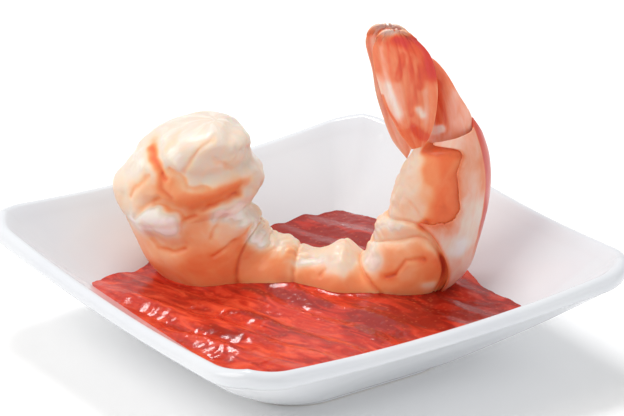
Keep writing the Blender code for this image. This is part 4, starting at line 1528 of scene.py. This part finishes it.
@dataclass
class Sauce:
    """The cocktail sauce, filling the hollow to its level and clinging to what stands in it."""

    dish: Dish
    plane: CurlPlane
    level: float = 9.0 * MM
    shoulder: float = 8.0 * MM
    into_wall: float = 0.12 * MM
    wave: float = 0.28 * MM
    mound: float = 0.9 * MM
    mound_place: Flat = (-9.0 * MM, 3.0 * MM)
    mound_width: float = 7.0 * MM
    ridge: float = 1.5 * MM
    ridge_spacing: float = 6.15 * MM
    ridge_phase: float = 0.464
    ridge_drift: float = 1.0 * MM
    flat_ridge: float = 0.3
    ridge_heading: float = math.radians(-72.0)
    long_flank: float = 0.62
    ripple: float = 0.09 * MM
    ripple_spacing: float = 2.6 * MM
    ripple_drift: float = 2.4 * MM
    pulp_lumps: float = 0.08 * MM
    pulp_bits: float = 0.05 * MM
    cling: float = 0.22 * MM
    cling_width: float = 0.6 * MM
    wall_cling: float = 0.7
    pocket_depth: float = 0.3 * MM
    plain_tone: float = 0.62
    steps: int = 280

    def rounded(self, across: np.ndarray, along: np.ndarray, edge: float) -> np.ndarray:
        """Fit a square grid to the hollow's outline, ring by ring.

        Args:
            across: shares of the half side along X, from -1 to 1.
            along: shares of it along Y.
            edge: half the side.

        Returns:
            Rows of X and Y.
        """
        major = np.maximum(np.abs(across), np.abs(along))
        minor = np.minimum(np.abs(across), np.abs(along))
        half = major * edge
        radius = np.minimum(self.dish.hollow_corner, 0.6 * half)
        straight = 1 - radius / np.maximum(half, 0.01 * MM)
        share = minor / np.maximum(major, 1e-9)
        turn = math.pi / 4 * np.clip((share - straight) / (1 - straight + 1e-9), 0.0, 1.0)
        bent = share > straight
        far = np.where(bent, half - radius * (1 - np.cos(turn)), half)
        near = np.where(bent, half - radius * (1 - np.sin(turn)), minor * edge)
        x_leads = np.abs(across) >= np.abs(along)
        x = np.sign(across) * np.where(x_leads, far, near)
        y = np.sign(along) * np.where(x_leads, near, far)
        return np.stack((x, y), axis=1)

    def height(self, points: np.ndarray) -> np.ndarray:
        """Find the height of the spooned surface.

        Args:
            points: rows of X and Y.

        Returns:
            One height a row.
        """
        x, y = points[:, 0], points[:, 1]
        along, across = turned_axes(x, y, self.plane.heading)
        # the low waves and the mound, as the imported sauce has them
        waves = np.sin(260 * x + 90 * y + 0.6) + 0.8 * np.sin(310 * y - 120 * x)
        off = np.hypot(along - self.mound_place[0], across - self.mound_place[1])
        height = self.level + self.wave * waves + self.mound * bell(off, self.mound_width)
        # the spoon's ridges, steeper on one flank and high only where it worked
        down, over = turned_axes(x, y, self.ridge_heading)
        flat = np.stack((down, over, np.zeros(len(x))), axis=1)
        spooned = np.clip(sum(mark.cover(points) for mark in RIPPLED), 0.0, 1.0)
        bent = over + self.ridge_drift * grain(flat, (14 * MM, 9 * MM, MM), 3.7)
        turn = np.mod(bent / self.ridge_spacing + self.ridge_phase, 1.0)
        rising, falling = turn / self.long_flank, (1 - turn) / (1 - self.long_flank)
        crest = eased(-0.3, 1.3, np.minimum(rising, falling)) - 0.5
        height += self.ridge * crest * (self.flat_ridge + (1 - self.flat_ridge) * spooned)
        # broken ripples across them, which catch the light, and the pulp under the wet skin
        phase = down + self.ripple_drift * grain(flat, (4.2 * MM, 3.0 * MM, MM), 6.1)
        ripples = np.cos(2 * math.pi * phase / self.ripple_spacing)
        broken = 0.7 + 1.2 * grain(flat, (3.2 * MM, 2.4 * MM, MM), 8.8)
        height += self.ripple * ripples * spooned * np.clip(broken, 0.2, 1.5)
        height += self.pulp_lumps * grain(flat, (2.4 * MM, 2.0 * MM, MM), 1.2)
        height += self.pulp_bits * grain(flat, (0.8 * MM, 0.9 * MM, MM), 9.4)
        return height

    def tone(self, points: np.ndarray) -> np.ndarray:
        """Find the red's brightness at rows of X and Y, 0 deep to 1 bright, with painted shade."""
        shade_and_streaks = sum(mark.cover(points) for mark in PAINTED_SHADE_AND_STREAKS)
        return np.clip(self.plain_tone - shade_and_streaks, 0.0, 1.0)

    def build(self, finish: CocktailSauce, shrimp: bpy.types.Object) -> bpy.types.Object:
        """Build the sauce, with a pocket where the shrimp stands in it.

        Args:
            finish: its looks.
            shrimp: the body that it clings to.

        Returns:
            The piece.
        """
        slant = self.into_wall / math.sin(self.dish.wall_rise)
        edge = self.dish.wall_half_at_sauce + slant
        build, across, along = ruled_sheet(self.steps, self.steps)
        across, along = 2 * across - 1, 2 * along - 1
        points = self.rounded(across, along, edge)
        height = self.height(points)
        body = BVHTree.FromObject(shrimp, bpy.context.evaluated_depsgraph_get())
        up = Vector((0.0, 0.0, 1.0))
        gaps = np.zeros(len(points))
        for index, (x, y) in enumerate(points):
            spot = Vector((x, y, height[index]))
            surface, normal, _, gap = body.find_nearest(spot)
            gaps[index] = gap
            if (spot - surface).dot(normal) < 0:
                gaps[index] = 0.0
                if gap > self.pocket_depth:
                    under = body.ray_cast(Vector((x, y, 0.0)), up)[0]
                    height[index] = max(under.z, self.dish.floor_height) - self.into_wall
        on_top = height > self.shoulder
        to_wall = edge * (1 - np.maximum(np.abs(across), np.abs(along)))
        beside = bell(gaps, self.cling_width) + self.wall_cling * bell(to_wall, self.cling_width)
        height += np.where(on_top, self.cling * beside, 0.0)
        wall = self.dish.wall_half(0.0) + height / math.tan(self.dish.wall_rise) + slant
        spread = 1 + (wall / edge - 1) * eased(3 * MM, 0.0, to_wall)
        place_verts(build, np.column_stack((points * spread[:, None], height)))
        rim = [item for item in build.edges if item.is_boundary]
        fillet = self.dish.fillet(8)
        for half, level in [(self.dish.wall_half(self.shoulder), self.shoulder)] + fillet:
            made = bmesh.ops.extrude_edge_only(build, edges=rim)["geom"]
            rim = [item for item in made if isinstance(item, bmesh.types.BMEdge)]
            for vert in {vert for item in rim for vert in item.verts}:
                minor, major = sorted((abs(vert.co.x), abs(vert.co.y)))
                shrink = self.dish.reach(half + slant, minor / major) / major
                vert.co = (vert.co.x * shrink, vert.co.y * shrink, level - self.into_wall)
        bmesh.ops.edgeloop_fill(build, edges=rim)
        bmesh.ops.recalc_face_normals(build, faces=build.faces)
        places = np.array([vert.co for vert in build.verts])
        marks = {"tone": self.tone(places[:, :2])}
        return add_piece("spooned_sauce", "sauce", build, finish, marks)


# ---------------------------------------------------------------- studio


@dataclass(frozen=True)
class Softbox:
    """One soft light, placed by its direction from the dish."""

    name: str
    azimuth: float
    elevation: float
    distance: float
    width: float
    height: float
    power: float
    colour: str = "#ffffff"

    def build(self, centre: Vector) -> None:
        """Hang the light, facing the dish.

        Args:
            centre: what it faces.
        """
        lamp = bpy.data.lights.new(self.name, "AREA")
        lamp.shape = "RECTANGLE"
        lamp.size, lamp.size_y = self.width, self.height
        lamp.energy = self.power
        lamp.color = linear(self.colour)[:3]
        back = direction(self.azimuth, self.elevation)
        holder = bpy.data.objects.new(self.name, lamp)
        holder.location = centre + back * self.distance
        holder.rotation_euler = (-back).to_track_quat("-Z", "Y").to_euler()
        bpy.context.scene.collection.objects.link(holder)


SOFTBOXES = (
    # the main light from the left, the one behind that the wet sauce mirrors, and a weak fill
    Softbox("key_softbox", -104.0, 40.0, 0.60, 0.42, 0.42, 1.5, "#fffaf4"),
    Softbox("high_back_softbox", 161.0, 69.0, 0.60, 0.22, 0.15, 1.6),
    Softbox("fill_softbox", 35.0, 14.0, 0.60, 0.40, 0.30, 0.50),
)


def direction(azimuth: float, elevation: float) -> Vector:
    """Find the way from the dish to something.

    Args:
        azimuth: degrees round it, 0 towards -Y and 90 towards +X.
        elevation: degrees above the table.

    Returns:
        The unit vector.
    """
    turn, rise = math.radians(azimuth), math.radians(elevation)
    level = math.cos(rise)
    return Vector((math.sin(turn) * level, -math.cos(turn) * level, math.sin(rise)))


@dataclass
class Studio:
    """The floor, the lights and the camera."""

    azimuth: float = -34.5
    elevation: float = 24.0
    lens_mm: float = 280.0
    sensor_mm: float = 36.0
    view_width: float = 104.6 * MM
    aim_right: float = 0.587 * MM
    aim_up: float = 23.31 * MM
    floor_radius: float = 4.0
    floor_gap: float = 0.02 * MM
    light_height: float = 20 * MM
    ambient: float = 0.57

    def base(self) -> Vector:
        """Find the middle of the dish's foot."""
        low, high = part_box("dish")
        return Vector(((low.x + high.x) / 2, (low.y + high.y) / 2, low.z))

    def build_floor(self) -> None:
        """Lay a round white floor."""
        build = bmesh.new()
        bmesh.ops.create_circle(build, cap_ends=True, segments=96, radius=self.floor_radius)
        down = Vector((0.0, 0.0, self.floor_gap))
        bmesh.ops.translate(build, verts=build.verts, vec=self.base() - down)
        mesh = bpy.data.meshes.new("acrylic_floor")
        build.to_mesh(mesh)
        build.free()
        mesh.materials.append(LitAcrylic("white_acrylic_sheet", "floor").material())
        floor = bpy.data.objects.new("acrylic_floor", mesh)
        bpy.context.scene.collection.objects.link(floor)

    def build_lights(self) -> None:
        """Set the soft surrounding light and the softboxes."""
        world = bpy.data.worlds.new("pale_studio")
        world.use_nodes = True
        shade = world.node_tree.nodes["Background"]
        shade.inputs["Color"].default_value = linear("#ffffff")
        shade.inputs["Strength"].default_value = self.ambient
        bpy.context.scene.world = world
        centre = self.base() + Vector((0.0, 0.0, self.light_height))
        for box in SOFTBOXES:
            box.build(centre)

    def build_camera(self) -> None:
        """Set a long lens at a low three-quarter view."""
        lens = bpy.data.cameras.new("long_lens")
        lens.lens = self.lens_mm
        lens.sensor_width = self.sensor_mm
        lens.clip_start, lens.clip_end = 0.05, 20.0
        back = direction(self.azimuth, self.elevation)
        right = direction(self.azimuth + 90.0, 0.0)
        up = back.cross(right)
        aim = self.base() + right * self.aim_right + up * self.aim_up
        camera = bpy.data.objects.new("long_lens", lens)
        camera.location = aim + back * (self.view_width * self.lens_mm / self.sensor_mm)
        camera.rotation_euler = (-back).to_track_quat("-Z", "Y").to_euler()
        bpy.context.scene.collection.objects.link(camera)
        bpy.context.scene.camera = camera
        bpy.context.scene.view_settings.view_transform = "Standard"

    def build(self) -> None:
        """Build it all."""
        self.build_floor()
        self.build_lights()
        self.build_camera()


# ---------------------------------------------------------------- the order of work


COOKED_FLESH = ShrimpFinish(
    # Cooked shrimp muscle: firm, wet and translucent near its surface, white with orange pigment.
    "cooked_shrimp_flesh",
    "cooked_shrimp",
    stops=(
        (0.0, "#faf3ec"),
        (0.12, "#e5d7c8"),
        (0.25, "#efd2b8"),
        (0.4, "#f3be96"),
        (0.6, "#f29c66"),
        (0.8, "#ed7743"),
        (1.0, "#c44427"),
    ),
    mottle_mm=(3.2, 2.4, 2.4),
    mottle=0.07,
    fibre_mm=(0.7, 1.6, 1.6),
    fibre_relief=0.14,
    roughness=0.42,
    wetness=0.30,
    light=0.55,
)
COOKED_SHELL = ShrimpFinish(
    # Cooked chitin: a thin, glossy, slightly translucent shell with red pigment in streaks.
    "cooked_chitin_shell",
    "tail_shell",
    stops=(
        (0.0, "#f8e8e1"),
        (0.2, "#f6d3c3"),
        (0.4, "#f7b098"),
        (0.6, "#f28b61"),
        (0.8, "#e6603c"),
        (1.0, "#d6443c"),
    ),
    mottle_mm=(4.0, 1.8, 1.8),
    mottle=0.12,
    fibre_mm=(6.0, 0.5, 0.5),
    fibre_relief=0.16,
    roughness=0.28,
    wetness=0.25,
    light=0.35,
)


def main() -> None:
    """Build every piece in order and report it."""
    logging.basicConfig(level=logging.INFO, format="%(name)s: %(message)s")
    dish = Dish()
    dish.build(GlazedPorcelain("glazed_hard_porcelain", "white_porcelain"))
    plane = CurlPlane()
    body = ShrimpBody(plane, dish)
    flesh = body.build(COOKED_FLESH)
    TailShell(body).build(COOKED_SHELL)
    TailFan(plane).build(COOKED_SHELL)
    sauce = CocktailSauce("tomato_cocktail_sauce", "cocktail_sauce")
    Sauce(dish, plane).build(sauce, flesh)
    Studio().build()
    bpy.context.view_layer.update()


if __name__ == "__main__":
    main()
